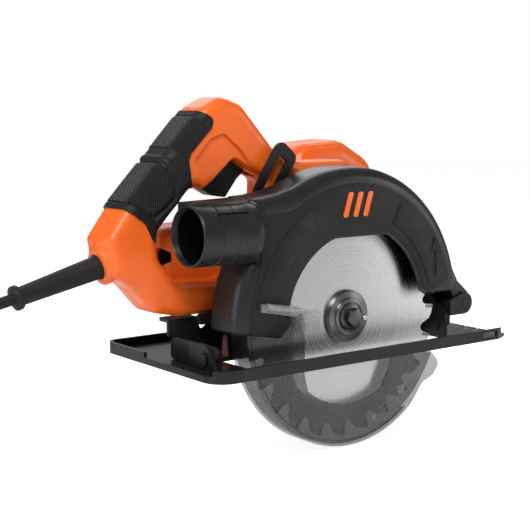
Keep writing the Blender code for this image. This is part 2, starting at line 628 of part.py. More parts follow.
def finger_opening():
    """The hole that the hand goes through."""
    return rounded([
        (-146, 80, 8), (-130, 60, 12), (-88, 58, 16), (-50, 70, 14), (-46, 134, 6), (-66, 143, 4),
        (-79, 151, 3), (-99, 134, 8), (-107, 129, 6), (-118, 132, 6), (-148, 100, 8),
    ])


TRIGGER_PIVOT = (-70.0, HANDLE_MID, 150.0)


def trigger_outline():
    """Side view of the trigger."""
    return rounded([
        (-75, 155, 2), (-63, 141.5, 2), (-70, 136, 8), (-81, 122, 2), (-93, 124, 2), (-103, 129.5, 2),
        (-88, 149, 4),
    ], 3)


def moved_edges(loop, distance):
    """A closed outline, counter-clockwise, with every edge moved outwards by a distance."""
    out = []
    for n, point in enumerate(loop):
        before = (Vector(point) - Vector(loop[n - 1])).normalized()
        after = (Vector(loop[(n + 1) % len(loop)]) - Vector(point)).normalized()
        normals = [Vector((edge.y, -edge.x)) for edge in (before, after)]
        both = (normals[0] + normals[1]).normalized()
        out.append(tuple(Vector(point) + both * distance / both.dot(normals[0])))
    return out


GRIP_PROUD = 1.2               # the grip stands out this far from the handle
GRIP_SUNK = 2.3                # and reaches this far into it


def handle_slab(name, look, grow, low, high):
    """The handle's side view made thick along y, with every edge moved outwards by a distance."""
    outer = moved_edges(handle_outline()[::-1], grow)
    opening = moved_edges(finger_opening(), -grow)
    return plate(name, look, "Y", [outer, opening], low, high)


def grip_area(gap=0.0):
    """Side view of the part of the handle that the grip covers."""
    return moved_edges(rounded([
        (-196, 126, 0), (-176, 119, 8), (-160, 108, 6), (-153, 95, 2), (-138, 88, 0), (-112, 127, 0),
        (-119, 134, 5), (-123, 153, 8), (-101, 175, 4), (-100, 181, 3), (-106, 185, 3), (-124, 194, 0),
        (-150, 200, 0),
    ], 4), gap)


def grip_recess(gap):
    """What the sleeve takes out of the handle, with a gap all round it."""
    low, high = HANDLE_NEAR + GRIP_SUNK + gap, HANDLE_FAR - GRIP_SUNK - gap
    recess = cutter("Y", [grip_area(gap)], HANDLE_NEAR - 5, HANDLE_FAR + 5)
    core = handle_slab("core", RUBBER, -GRIP_SUNK - gap, low, high)
    return settle(combine(recess, [core]))


def make_grip():
    """Rubber sleeve round both sides, the back and the lower front of the grip."""
    low, high = HANDLE_NEAR - GRIP_PROUD, HANDLE_FAR + GRIP_PROUD
    sleeve = handle_slab("grip_sleeve", RUBBER, GRIP_PROUD, low, high)
    area = cutter("Y", [grip_area()], low - 5, high + 5)
    combine(sleeve, [area], "INTERSECT")
    core = handle_slab("core", RUBBER, -GRIP_SUNK, HANDLE_NEAR + GRIP_SUNK, HANDLE_FAR - GRIP_SUNK)
    return combine(settle(sleeve), [core])


def make_handle():
    """Two moulded halves that meet on the handle's middle plane, and the grip round them."""
    x, z = SHAFT_AXIS
    halves = (("handle_right", HANDLE_NEAR, HANDLE_MID), ("handle_left", HANDLE_MID + GAP, HANDLE_FAR))
    for name, low, high in halves:
        half = handle_slab(name, ORANGE, 0, low, high)
        settle(combine(half, [grip_recess(GAP)]))
        if name == "handle_left":
            tail = cutter("Y", [rounded([(-134, 46, 12), (-118, 37.5, 8), (-20, 37.5, 4), (-20, 104, 6),
                                         (-70, 104, 20), (-128, 100, 12)])], HANDLE_FAR - 4, HANDLE_FAR + 26)
            combine(half, [tail], "UNION")
        collar = ring("collar", ORANGE, BOOT_START - BOOT_AXIS * 14, 0, 13.5, 15, BOOT_AXIS, 32)
        keep = cutter("Y", [box(-250, -150, 40, 130)], low, high)
        combine(collar, [keep], "INTERSECT")
        settle(collar)
        combine(half, [collar], "UNION")
        settle(half)
        motor = drill((x, 30, z), MOTOR_R + GAP, 90, steps=64)
        trigger_room = cutter("Y", [rounded([(-92, 160, 2), (-66, 160, 2), (-50, 140, 2), (-60, 124, 2),
                                             (-79, 112, 2), (-112, 122, 2), (-108, 134, 2)], 2)],
                              HANDLE_MID - 6.5, HANDLE_MID + 6.5)
        switch_room = cutter("Y", [switch_outline(1.0)], HANDLE_MID - 9, HANDLE_MID + 9)
        socket = drill(BOOT_START - BOOT_AXIS * 16, 9.3, 40, BOOT_AXIS, 24)
        cuts = [motor, trigger_room, switch_room, socket]
        if name == "handle_left":
            cuts.append(drill((-71, HANDLE_FAR - 8, 182), 5.3, 20, steps=20))
        combine(half, cuts)
    make_grip()
    corners = [(0, 88, 0), (92, 70, 0), (98, 142, 20), (60, 163, 25), (16, 160, 20), (0, 135, 14)]
    dome = plate("front_handle", ORANGE, "Y", [rounded(corners)], HANDLE_FAR + GAP, 121)
    combine(dome, [drill((x, 30, z), MOTOR_R + GAP, 120, steps=64)])


def switch_outline(grow=0.0):
    """Side view of the switch block over the trigger."""
    return moved_edges([(-86, 160), (-68, 163), (-76, 176), (-90, 170)], grow)


def make_controls():
    """Trigger, switch block, lock-off button, spindle lock and the depth and bevel locks."""
    trigger = plate("trigger", BLACK, "Y", [trigger_outline()], HANDLE_MID - 6, HANDLE_MID + 6)
    joint_at(trigger, TRIGGER_PIVOT)
    plate("switch_module", BLACK, "Y", [switch_outline()], HANDLE_MID - 8, HANDLE_MID + 8)
    turned("lock_off_button", BLACK, (-71, HANDLE_FAR - 5, 182),
           [(0, 7.4), (4, 7.4), (5, 6.4), (5, 0), (0, 0)],
           steps=20)
    turned("spindle_lock", BLACK, (30, 39, BLADE_Z + 3),
           [(0, 9), (5, 9), (6, 8), (6, 2), (3.4, 1.9), (3.4, -13), (0, -13)], (1, 0, 0), 20)
    pin_x, pin_z = DEPTH_PIN
    spot = (pin_x - ARM_R * cos(radians(2.2)), pin_z + ARM_R * sin(radians(2.2)))
    turned("depth_bolt", STEEL, (spot[0], GUARD_FAR + GAP, spot[1]),
           [(0, 16.2), (3.3, 16.2), (3.3, 2), (6.5, 1.9), (6.5, 0), (0, 0)], steps=20)
    hub = ring("depth_lock_lever", BLACK, (spot[0], 29.4, spot[1]), 3.6, 7.5, 4.0, steps=24)
    handle = cutter("Y", [rounded([(spot[0] - 5.5, spot[1] - 4, 0), (spot[0] - 5.5, spot[1] + 4, 0),
                                   (spot[0] - 36, spot[1] + 2, 3), (spot[0] - 36, spot[1] - 6, 3)], 4)],
                    29.4, 33.4)
    combine(hub, [handle], "UNION")
    joint_at(settle(hub), (spot[0], 0, spot[1]))
    y, z = BEVEL_AXIS[0] + 30, BEVEL_AXIS[1]
    turned("bevel_bolt", STEEL, (101.0, y, z),
           [(0, 13.6), (2.9, 13.6), (2.9, 1.4), (5.0, 1.3), (5.0, 0), (0, 0)], (1, 0, 0), 20)
    hub = ring("bevel_lock_lever", BLACK, (108.9, y, z), 3.2, 6.4, 5.0, (1, 0, 0), 24)
    paddle = [(y + 4.6, z - 3.5, 0), (y + 30, z - 1, 3), (y + 30, z + 6, 3), (y + 4.6, z + 4, 0)]
    handle = cutter("X", [rounded(paddle, 4)], 109.2, 113.6)
    combine(hub, [handle], "UNION")
    joint_at(settle(hub), (0, y, z))


# ---------------------------------------------------------------- cord

COIL_CENTRE = Vector((-346.0, 154.0, FLOOR_Z + COIL_HIGH / 2))


def smooth_route(stops, spacing):
    """Points at about an even spacing on a smooth curve through the route's stops."""
    stops = [Vector(stop) for stop in stops]
    padded = [stops[0] * 2 - stops[1], *stops, stops[-1] * 2 - stops[-2]]
    out = []
    for n in range(len(stops) - 1):
        a, b, c, d = padded[n:n + 4]
        count = max(2, round((c - b).length / spacing))
        for k in range(count):
            t = k / count
            out.append(0.5 * (2 * b + (c - a) * t + (2 * a - 5 * b + 4 * c - d) * t ** 2
                              + (3 * b - a - 3 * c + d) * t ** 3))
    return [*out, stops[-1]]


def make_cord():
    """Cord boot, the cord down to the surface, its coil, the cord's end and the plug."""
    end = BOOT_LONG
    profile = [(0, end), (6.6, end), (8.8, end - 1), (8.8, end - 5), (6.6, end - 6), (8.6, 2), (8.9, 0),
               (8.9, -15), (0, -15)]
    turned("cord_boot", RUBBER, BOOT_START, profile, BOOT_AXIS, 20)
    lying = FLOOR_Z + CORD_R
    start = BOOT_START + BOOT_AXIS * (BOOT_LONG + GAP)
    side = COIL_TURN_R + COIL_WIDE / 2 + CORD_R + GAP
    stops = [start, start + BOOT_AXIS * 22, (-310, 56, 40), (-345, 60, 4), (-372, 66, -34), (-394, 80, -62),
             (-410, 104, lying), (COIL_CENTRE.x - side, COIL_CENTRE.y - 20, lying),
             (COIL_CENTRE.x - side, COIL_CENTRE.y, lying)]
    tube("cord_run", RUBBER, smooth_route(stops, 18), CORD_R)
    ring("cord_coil", RUBBER, (COIL_CENTRE.x, COIL_CENTRE.y, FLOOR_Z), COIL_TURN_R - COIL_WIDE / 2,
         COIL_TURN_R + COIL_WIDE / 2, COIL_HIGH, (0, 0, 1), 40)
    plug_y = COIL_CENTRE.y + COIL_TURN_R + COIL_WIDE / 2 + 20
    plug_z = FLOOR_Z + 18.5
    x, y = COIL_CENTRE.x, COIL_CENTRE.y
    tail = [(x - 53, y + 31.5, plug_z - 1), (x - 44, y + 62, plug_z - 1), (x - 30, plug_y - 1, plug_z),
            (x - 16 - GAP, plug_y, plug_z)]
    tube("cord_tail", RUBBER, smooth_route(tail, 14), CORD_R)
    body = turned("plug", BLACK, (COIL_CENTRE.x, plug_y, plug_z),
                  [(0, 36), (17, 36), (18, 34), (18, 18), (11, 4), (8, -14), (5, -16), (0, -16)],
                  (1, 0, 0), 28)
    pins = [drill((COIL_CENTRE.x + 30, plug_y + step, plug_z), 2.4, 25, (1, 0, 0), 16)
            for step in (-9.5, 9.5)]
    combine(body, pins, "UNION")


def main():
    make_shoe()
    make_shoe_brackets()
    make_fence_screw()
    make_carriage()
    make_depth_arm()
    make_upper_guard()
    make_guard_cover()
    make_lower_guard()
    make_guard_lever()
    make_blade()
    make_spindle()
    make_gear_case()
    make_armature()
    make_motor()
    make_handle()
    make_controls()
    make_cord()


main()
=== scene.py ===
"""Looks of the corded circular saw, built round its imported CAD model.

Sizes are millimetres in the saw's own frame, as in the CAD: +X is the cutting direction, +Y is
the motor side and +Z is up, with y measured from the blade's plane. Meshes are built in that
frame and piece() turns them into metres in the row's frame.
"""

import json
from math import atan2, cos, degrees, pi, radians, sin, tan

import bmesh
import bpy
import numpy as np
from mathutils import Matrix, Vector


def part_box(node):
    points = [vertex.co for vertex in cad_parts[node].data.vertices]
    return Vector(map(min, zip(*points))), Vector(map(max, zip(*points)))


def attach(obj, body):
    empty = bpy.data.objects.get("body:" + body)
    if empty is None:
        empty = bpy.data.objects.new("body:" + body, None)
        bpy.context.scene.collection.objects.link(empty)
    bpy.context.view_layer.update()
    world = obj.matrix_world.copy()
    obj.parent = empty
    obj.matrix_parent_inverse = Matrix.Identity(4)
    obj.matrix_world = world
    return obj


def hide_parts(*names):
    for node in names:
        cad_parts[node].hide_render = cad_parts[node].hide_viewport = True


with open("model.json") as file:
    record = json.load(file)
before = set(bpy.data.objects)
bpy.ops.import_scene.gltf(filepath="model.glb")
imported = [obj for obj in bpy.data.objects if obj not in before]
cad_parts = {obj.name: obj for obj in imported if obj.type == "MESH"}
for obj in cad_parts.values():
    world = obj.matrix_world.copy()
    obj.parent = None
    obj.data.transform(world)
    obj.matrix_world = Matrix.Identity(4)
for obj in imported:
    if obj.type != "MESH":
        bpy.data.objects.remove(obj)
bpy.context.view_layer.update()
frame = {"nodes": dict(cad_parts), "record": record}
NODES = frame["nodes"]

MM = 0.001
ORIGIN_Y = 45.0                     # the row's origin lies this far from the blade's plane
TO_ROW = Matrix.Scale(MM, 4) @ Matrix.Translation((0, -ORIGIN_Y, 0))


def place(x, y, z):
    """A point of the saw's own millimetre frame, in the row's frame."""
    return TO_ROW @ Vector((x, y, z))


def node_box(name):
    """Lowest and highest corner of a CAD node in the saw's own frame."""
    back = TO_ROW.inverted()
    return tuple(back @ Vector(corner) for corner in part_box(name))


def middle_of(name):
    """Centre of a CAD node's box in the saw's own frame."""
    low, high = node_box(name)
    return (low + high) / 2


# Driving dimensions, partly read from the frame
BLADE_Z = middle_of("blade").z
BLADE_R = (node_box("blade")[1].z - node_box("blade")[0].z) / 2
SHOE_LOW, SHOE_HIGH = node_box("shoe")
FLOOR_Z = node_box("cord_coil")[0].z
COIL_LOW, COIL_TOP = node_box("cord_coil")
MOTOR_X, MOTOR_Z = middle_of("motor_housing").x, middle_of("motor_housing").z
MOTOR_R = (node_box("motor_housing")[1].x - node_box("motor_housing")[0].x) / 2
HANDLE_NEAR, HANDLE_MID = node_box("handle_right")[0].y, node_box("handle_right")[1].y
HANDLE_FAR = HANDLE_MID + (HANDLE_MID - HANDLE_NEAR)
GUARD_NEAR, GUARD_FAR = node_box("guard_cover")[0].y, node_box("upper_guard")[1].y
GUARD_R = 116.0
REAR_R, REAR_X = 112.0, -97.0       # the guard's rear limb, and its wall under the dust port
GUARD_SEAM = -1.5                   # y of the line where the guard's two mouldings meet
GUARD_WALL = 2.2
PORT_R, PORT_Z = 22.0, 100.0
PORT_BORE = PORT_R - 1.8
PORT_MOUTH = node_box("upper_guard")[0].x
BOOT_START = Vector((-187.0, HANDLE_MID, 77.0))
BOOT_AXIS = Vector((-67.0, 0.0, -17.0)).normalized()
BOOT_LONG = 70.0
CORD_R = 4.2
PLAY = 0.3                          # gap between pieces that touch


# ---------------------------------------------------------------- outlines

def arc(centre, radius, start, end, steps=12):
    """Points on a circle from one angle to another, in degrees."""
    turn = [radians(start + (end - start) * n / steps) for n in range(steps + 1)]
    return [(centre[0] + radius * cos(a), centre[1] + radius * sin(a)) for a in turn]


def circle(centre, radius, steps=48):
    """A closed circle."""
    return arc(centre, radius, 0, 360, steps)[:-1]


def rounded(corners, steps=6):
    """An outline from (u, v, radius) corners, each one turned into an arc."""
    out = []
    for n, (u, v, radius) in enumerate(corners):
        here = Vector((u, v))
        if radius <= 0:
            out.append((u, v))
            continue
        back = (Vector(corners[n - 1][:2]) - here).normalized()
        ahead = (Vector(corners[(n + 1) % len(corners)][:2]) - here).normalized()
        half = back.angle(ahead) / 2
        middle = here + (back + ahead).normalized() * radius / sin(half)
        first = here + back * radius / tan(half) - middle
        last = here + ahead * radius / tan(half) - middle
        start = atan2(first.y, first.x)
        sweep = (atan2(last.y, last.x) - start + pi) % (2 * pi) - pi
        out += arc(middle, radius, degrees(start), degrees(start + sweep), steps)
    return out


def grown(corners, distance):
    """(u, v, radius) corners with every edge moved outwards, and the radii to match."""
    flat = [Vector(corner[:2]) for corner in corners]
    around = sum(a.cross(b) for a, b in zip(flat, flat[1:] + flat[:1]))
    side = 1 if around > 0 else -1
    out = []
    for n, here in enumerate(flat):
        before = (here - flat[n - 1]).normalized()
        after = (flat[(n + 1) % len(flat)] - here).normalized()
        normals = [Vector((edge.y, -edge.x)) * side for edge in (before, after)]
        both = (normals[0] + normals[1]).normalized()
        spot = here + both * distance / both.dot(normals[0])
        convex = before.cross(after) * side > 0
        radius = corners[n][2] + (distance if convex else -distance)
        out.append((spot.x, spot.y, max(radius, 0)))
    return out


# ---------------------------------------------------------------- meshes, in millimetres

AXES = {
    "X": Matrix(((0, 0, 1), (1, 0, 0), (0, 1, 0))),      # outline in y, z
    "Y": Matrix(((1, 0, 0), (0, 0, -1), (0, 1, 0))),     # outline in x, z
    "Z": Matrix(((1, 0, 0), (0, 1, 0), (0, 0, 1))),      # outline in x, y
}


def evaluated(obj):
    """The mesh of a scratch object with its modifiers applied; the object goes."""
    bpy.context.view_layer.update()
    result = obj.evaluated_get(bpy.context.evaluated_depsgraph_get())
    mesh = bpy.data.meshes.new_from_object(result)
    bpy.data.objects.remove(obj)
    return mesh


def scratch(data):
    """A scratch object round some data."""
    obj = bpy.data.objects.new("scratch", data)
    bpy.context.scene.collection.objects.link(obj)
    return obj


def plate(axis, loops, low, high, bevel=0.0, segments=2):
    """Mesh of a flat outline with holes, made thick along one axis."""
    curve = bpy.data.curves.new("outline", "CURVE")
    curve.dimensions = "2D"
    curve.fill_mode = "BOTH"
    curve.extrude = (high - low) / 2
    for loop in loops:
        spline = curve.splines.new("POLY")
        spline.points.add(len(loop) - 1)
        spline.use_cyclic_u = True
        for point, (u, v) in zip(spline.points, loop):
            point.co = (u, v, 0, 1)
    mesh = evaluated(scratch(curve))
    work = bmesh.new()
    work.from_mesh(mesh)
    bmesh.ops.remove_doubles(work, verts=work.verts, dist=0.01)
    bmesh.ops.recalc_face_normals(work, faces=work.faces)
    bmesh.ops.dissolve_limit(work, angle_limit=0.01, verts=work.verts, edges=work.edges)
    work.to_mesh(mesh)
    work.free()
    mesh.transform(AXES[axis].to_4x4())
    middle = (low + high) / 2
    shift = {"X": (middle, 0, 0), "Y": (0, middle, 0), "Z": (0, 0, middle)}[axis]
    mesh.transform(Matrix.Translation(shift))
    if bevel:
        obj = scratch(mesh)
        soft = obj.modifiers.new("edge", "BEVEL")
        soft.width = bevel
        soft.segments = segments
        soft.limit_method = "ANGLE"
        soft.angle_limit = radians(40)
        mesh = evaluated(obj)
    return mesh


def lathe(profile, spot, axis=(0, 1, 0), steps=48):
    """Mesh of a (radius, height) profile turned about an axis."""
    turn = Vector((0, 0, 1)).rotation_difference(Vector(axis)).to_matrix()
    spot = Vector(spot)
    work = bmesh.new()
    rings = []
    for radius, height in profile:
        if radius == 0:
            rings.append([work.verts.new(spot + turn @ Vector((0, 0, height)))] * steps)
            continue
        angles = [2 * pi * n / steps for n in range(steps)]
        rings.append([work.verts.new(spot + turn @ Vector((radius * cos(a), radius * sin(a), height)))
                      for a in angles])
    pairs = list(zip(rings, rings[1:]))
    if profile[0][0] > 0:
        pairs.append((rings[-1], rings[0]))
    for one, other in pairs:
        for n in range(steps):
            corners = list(dict.fromkeys([one[n], one[n - 1], other[n - 1], other[n]]))
            if len(corners) > 2:
                work.faces.new(corners)
    bmesh.ops.recalc_face_normals(work, faces=work.faces)
    mesh = bpy.data.meshes.new("turned")
    work.to_mesh(mesh)
    work.free()
    return mesh


def joined(meshes):
    """Several meshes as one."""
    work = bmesh.new()
    for mesh in meshes:
        work.from_mesh(mesh)
    out = bpy.data.meshes.new("joined")
    work.to_mesh(out)
    work.free()
    return out


def fused(meshes, voxel=1.1, rounds=7):
    """Overlapping closed meshes melted into one smooth skin."""
    obj = scratch(joined(meshes))
    melt = obj.modifiers.new("melt", "REMESH")
    melt.mode = "VOXEL"
    melt.voxel_size = voxel
    soft = obj.modifiers.new("soft", "SMOOTH")
    soft.factor = 0.5
    soft.iterations = rounds
    return evaluated(obj)


def boolean(mesh, others, operation="DIFFERENCE"):
    """A closed mesh cut by, joined to or kept inside other closed meshes."""
    obj = scratch(mesh)
    tools = [scratch(other) for other in others]
    for tool in tools:
        step = obj.modifiers.new("step", "BOOLEAN")
        step.solver = "MANIFOLD"
        step.operation = operation
        step.object = tool
    mesh = evaluated(obj)
    for tool in tools:
        bpy.data.objects.remove(tool)
    return mesh


def split(mesh, y, keep_near):
    """The near or the far part of a closed mesh, closed again where the plane cuts it."""
    work = bmesh.new()
    work.from_mesh(mesh)
    everything = work.verts[:] + work.edges[:] + work.faces[:]
    cut = bmesh.ops.bisect_plane(work, geom=everything, plane_co=(0, y, 0), plane_no=(0, 1, 0),
                                 clear_outer=keep_near, clear_inner=not keep_near)
    rim = [item for item in cut["geom_cut"] if isinstance(item, bmesh.types.BMEdge)]
    bmesh.ops.triangle_fill(work, use_beauty=True, edges=rim, normal=(0, 1 if keep_near else -1, 0))
    bmesh.ops.recalc_face_normals(work, faces=work.faces)
    out = bpy.data.meshes.new("half")
    work.to_mesh(out)
    work.free()
    return out


def soft_slabs(corners, holes, low, high, radius, steps=5):
    """Nested slabs that together are a thick outline with its long edges rounded."""
    slabs = []
    for n in range(steps + 1):
        angle = pi / 2 * n / steps
        depth, inset = radius * (1 - cos(angle)), radius * (1 - sin(angle))
        loops = [rounded(grown(corners, -inset))]
        loops += [rounded(grown(hole, inset)) for hole in holes]
        slabs.append(plate("Y", loops, low + depth, high - depth))
    return slabs


def piece(name, mesh, look, body, stands_for=(), smooth=40, more_looks=()):
    """A shown piece from a mesh in millimetres, riding on a body."""
    mesh.transform(TO_ROW)
    mesh.name = name
    mesh.materials.clear()
    for each in (look, *more_looks):
        mesh.materials.append(each)
    mesh.shade_smooth()
    mesh.set_sharp_from_angle(angle=radians(smooth))
    obj = bpy.data.objects.new(name, mesh)
    bpy.context.scene.collection.objects.link(obj)
    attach(obj, body)
    if stands_for:
        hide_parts(*stands_for)
    return obj


# ---------------------------------------------------------------- materials

class Look:
    """A material that is being put together from nodes."""

    def __init__(self, name, colour, roughness, metallic=0.0):
        self.material = bpy.data.materials.new(name)
        self.material.use_nodes = True
        self.nodes = self.material.node_tree.nodes
        self.shader = self.nodes["Principled BSDF"]
        self.set("Base Color", (*colour, 1))
        self.set("Roughness", roughness)
        self.set("Metallic", metallic)
        self.spots = self.nodes.new("ShaderNodeTexCoord").outputs["Object"]
        self.height = None

    def set(self, name, value):
        """Sets one constant of the shader."""
        self.shader.inputs[name].default_value = value

    def link(self, start, end):
        """Joins two sockets."""
        self.material.node_tree.links.new(start, end)

    def noise(self, scale, detail=2.0, stretch=(1, 1, 1)):
        """A noise pattern, in cells per metre."""
        mapping = self.nodes.new("ShaderNodeMapping")
        mapping.inputs["Scale"].default_value = stretch
        self.link(self.spots, mapping.inputs["Vector"])
        node = self.nodes.new("ShaderNodeTexNoise")
        node.inputs["Scale"].default_value = scale
        node.inputs["Detail"].default_value = detail
        self.link(mapping.outputs["Vector"], node.inputs["Vector"])
        return node.outputs["Fac"]

    def mapped(self, value, low, high, start=0.3, end=0.7):
        """A pattern brought into a range."""
        node = self.nodes.new("ShaderNodeMapRange")
        node.inputs["From Min"].default_value = start
        node.inputs["From Max"].default_value = end
        node.inputs["To Min"].default_value = low
        node.inputs["To Max"].default_value = high
        self.link(value, node.inputs["Value"])
        return node.outputs["Result"]

    def vary_roughness(self, scale, low, high):
        """Slightly uneven gloss."""
        self.link(self.mapped(self.noise(scale), low, high), self.shader.inputs["Roughness"])

    def vary_colour(self, scale, one, other, detail=3.0):
        """Mottles the colour between two close ones."""
        ramp = self.nodes.new("ShaderNodeMix")
        ramp.data_type = "RGBA"
        ramp.inputs["A"].default_value = (*one, 1)
        ramp.inputs["B"].default_value = (*other, 1)
        self.link(self.mapped(self.noise(scale, detail), 0, 1), ramp.inputs["Factor"])
        self.link(ramp.outputs["Result"], self.shader.inputs["Base Color"])

    def bump(self, value, strength, distance=0.0002):
        """Adds a height pattern on top of those already there."""
        node = self.nodes.new("ShaderNodeBump")
        node.inputs["Strength"].default_value = strength
        node.inputs["Distance"].default_value = distance
        self.link(value, node.inputs["Height"])
        if self.height:
            self.link(self.height, node.inputs["Normal"])
        self.height = node.outputs["Normal"]
        self.link(self.height, self.shader.inputs["Normal"])

    def math(self, operation, one, other=None):
        """One sum on sockets or plain numbers."""
        node = self.nodes.new("ShaderNodeMath")
        node.operation = operation
        for socket, value in zip(node.inputs, (one, other)):
            if isinstance(value, (int, float)):
                socket.default_value = value
            elif value is not None:
                self.link(value, socket)
        return node.outputs[0]


def plastic(name, colour, other, low, high, grain=1800, grain_strength=0.12):
    """Moulded plastic with a faint grain and slightly uneven gloss."""
    look = Look(name, colour, low)
    look.set("Specular IOR Level", 0.35)
    look.vary_colour(35, colour, other)
    look.vary_roughness(60, low, high)
    look.bump(look.noise(grain, 1.0), grain_strength)
    return look


def orange_plastic():
    """Satin orange of the handle and the motor housing."""
    look = plastic("orange_plastic_look", (0.80, 0.118, 0.010), (0.86, 0.14, 0.013), 0.30, 0.40,
                   900, 0.05)
    look.set("Specular IOR Level", 0.45)
    return look.material


def black_skin():
    """Satin black of the guard's rounded rim."""
    look = plastic("guard_skin_look", (0.012, 0.012, 0.012), (0.016, 0.016, 0.017), 0.28, 0.38,
                   2200, 0.10)
    return look.material


def black_face():
    """Matt spark-eroded black of the guard's flat face."""
    look = plastic("guard_face_look", (0.008, 0.008, 0.0085), (0.012, 0.012, 0.012), 0.46, 0.58,
                   2600, 0.35)
    look.set("Specular IOR Level", 0.28)
    return look.material


def black_plastic():
    """Satin black of the trigger, buttons, levers and plug."""
    return plastic("black_plastic_look", (0.012, 0.012, 0.012), (0.018, 0.018, 0.018), 0.36, 0.48).material


def shade_and_latch_black():
    """Dead black: painted shade inside the dust port and the tail vent, also used for the port latch."""
    look = plastic("shade_and_latch_black_look", (0.001, 0.001, 0.001), (0.002, 0.002, 0.002), 0.85, 0.95)
    look.set("Specular IOR Level", 0.05)
    return look.material


def rubber():
    """Smooth black rubber of the sleeve, the strain relief and the cord."""
    look = plastic("black_rubber_look", (0.010, 0.010, 0.010), (0.014, 0.014, 0.014), 0.50, 0.62,
                   2500, 0.25)
    look.set("Specular IOR Level", 0.22)
    return look.material


def knurled_rubber():
    """Grip rubber with rows of small diamonds."""
    look = Look("knurled_rubber_look", (0.010, 0.010, 0.010), 0.55)
    look.set("Specular IOR Level", 0.35)
    look.vary_colour(50, (0.007, 0.007, 0.007), (0.010, 0.010, 0.010))
    apart = look.nodes.new("ShaderNodeSeparateXYZ")
    look.link(look.spots, apart.inputs["Vector"])
    pitch = 2 * pi / (3.2 * MM)
    along = look.math("ADD", apart.outputs["X"], apart.outputs["Z"])
    across = look.math("SUBTRACT", apart.outputs["Z"], apart.outputs["X"])
    across = look.math("ADD", across, apart.outputs["Y"])
    waves = [look.math("SINE", look.math("MULTIPLY", way, pitch)) for way in (along, across)]
    diamonds = look.math("MULTIPLY", *waves)
    look.link(look.mapped(diamonds, 0.62, 0.45, -1, 1), look.shader.inputs["Roughness"])
    look.bump(diamonds, 1.0, 0.0006)
    return look.material


def black_paint():
    """Baked satin paint with a little orange peel."""
    look = plastic("black_paint_look", (0.008, 0.008, 0.008), (0.012, 0.012, 0.012), 0.30, 0.40, 700, 0.10)
    look.set("Specular IOR Level", 0.25)
    look.set("Coat Weight", 0.06)
    look.set("Coat Roughness", 0.3)
    return look.material


def brushed_disc(name, colour, roughness, rings, centre):
    """Metal ground in circles about an axis along Y."""
    look = Look(name, colour, roughness, 1.0)
    look.set("Anisotropic", 0.9)
    look.set("Anisotropic Rotation", 0.25)
    tangent = look.nodes.new("ShaderNodeTangent")
    tangent.direction_type = "RADIAL"
    tangent.axis = "Y"
    look.link(tangent.outputs["Tangent"], look.shader.inputs["Tangent"])
    shift = look.nodes.new("ShaderNodeVectorMath")
    shift.operation = "SUBTRACT"
    shift.inputs[1].default_value = place(*centre)
    look.link(look.spots, shift.inputs[0])
    flat = look.nodes.new("ShaderNodeVectorMath")
    flat.operation = "MULTIPLY"
    flat.inputs[1].default_value = (1, 0, 1)
    look.link(shift.outputs["Vector"], flat.inputs[0])
    away = look.nodes.new("ShaderNodeVectorMath")
    away.operation = "LENGTH"
    look.link(flat.outputs["Vector"], away.inputs[0])
    grooves = look.nodes.new("ShaderNodeTexNoise")
    grooves.noise_dimensions = "1D"
    grooves.inputs["Scale"].default_value = rings
    grooves.inputs["Detail"].default_value = 4.0
    look.link(away.outputs["Value"], grooves.inputs["W"])
    uneven = look.mapped(grooves.outputs["Fac"], roughness - 0.08, roughness + 0.12)
    look.link(uneven, look.shader.inputs["Roughness"])
    mix = look.nodes.new("ShaderNodeMix")
    mix.data_type = "RGBA"
    mix.inputs["A"].default_value = (*[c * 0.82 for c in colour], 1)
    mix.inputs["B"].default_value = (*[min(1, c * 1.12) for c in colour], 1)
    look.link(look.mapped(grooves.outputs["Fac"], 0, 1), mix.inputs["Factor"])
    look.link(mix.outputs["Result"], look.shader.inputs["Base Color"])
    look.bump(grooves.outputs["Fac"], 0.1, 0.0001)
    return look.material


def metal(name, colour, low, high, scale=500, strength=0.08):
    """Plain machined or cast metal."""
    look = Look(name, colour, low, 1.0)
    look.vary_colour(120, colour, tuple(c * 0.82 for c in colour))
    look.vary_roughness(220, low, high)
    look.bump(look.noise(scale), strength)
    return look.material


def see_through(name, colour, alpha, roughness):
    """Tinted clear plastic."""
    look = Look(name, colour, roughness)
    look.set("Alpha", alpha)
    look.set("Coat Weight", 0.5)
    look.set("Coat Roughness", 0.05)
    look.vary_colour(40, colour, tuple(c * 0.8 for c in colour))
    look.vary_roughness(80, roughness, roughness + 0.1)
    look.bump(look.noise(300), 0.03)
    return look.material


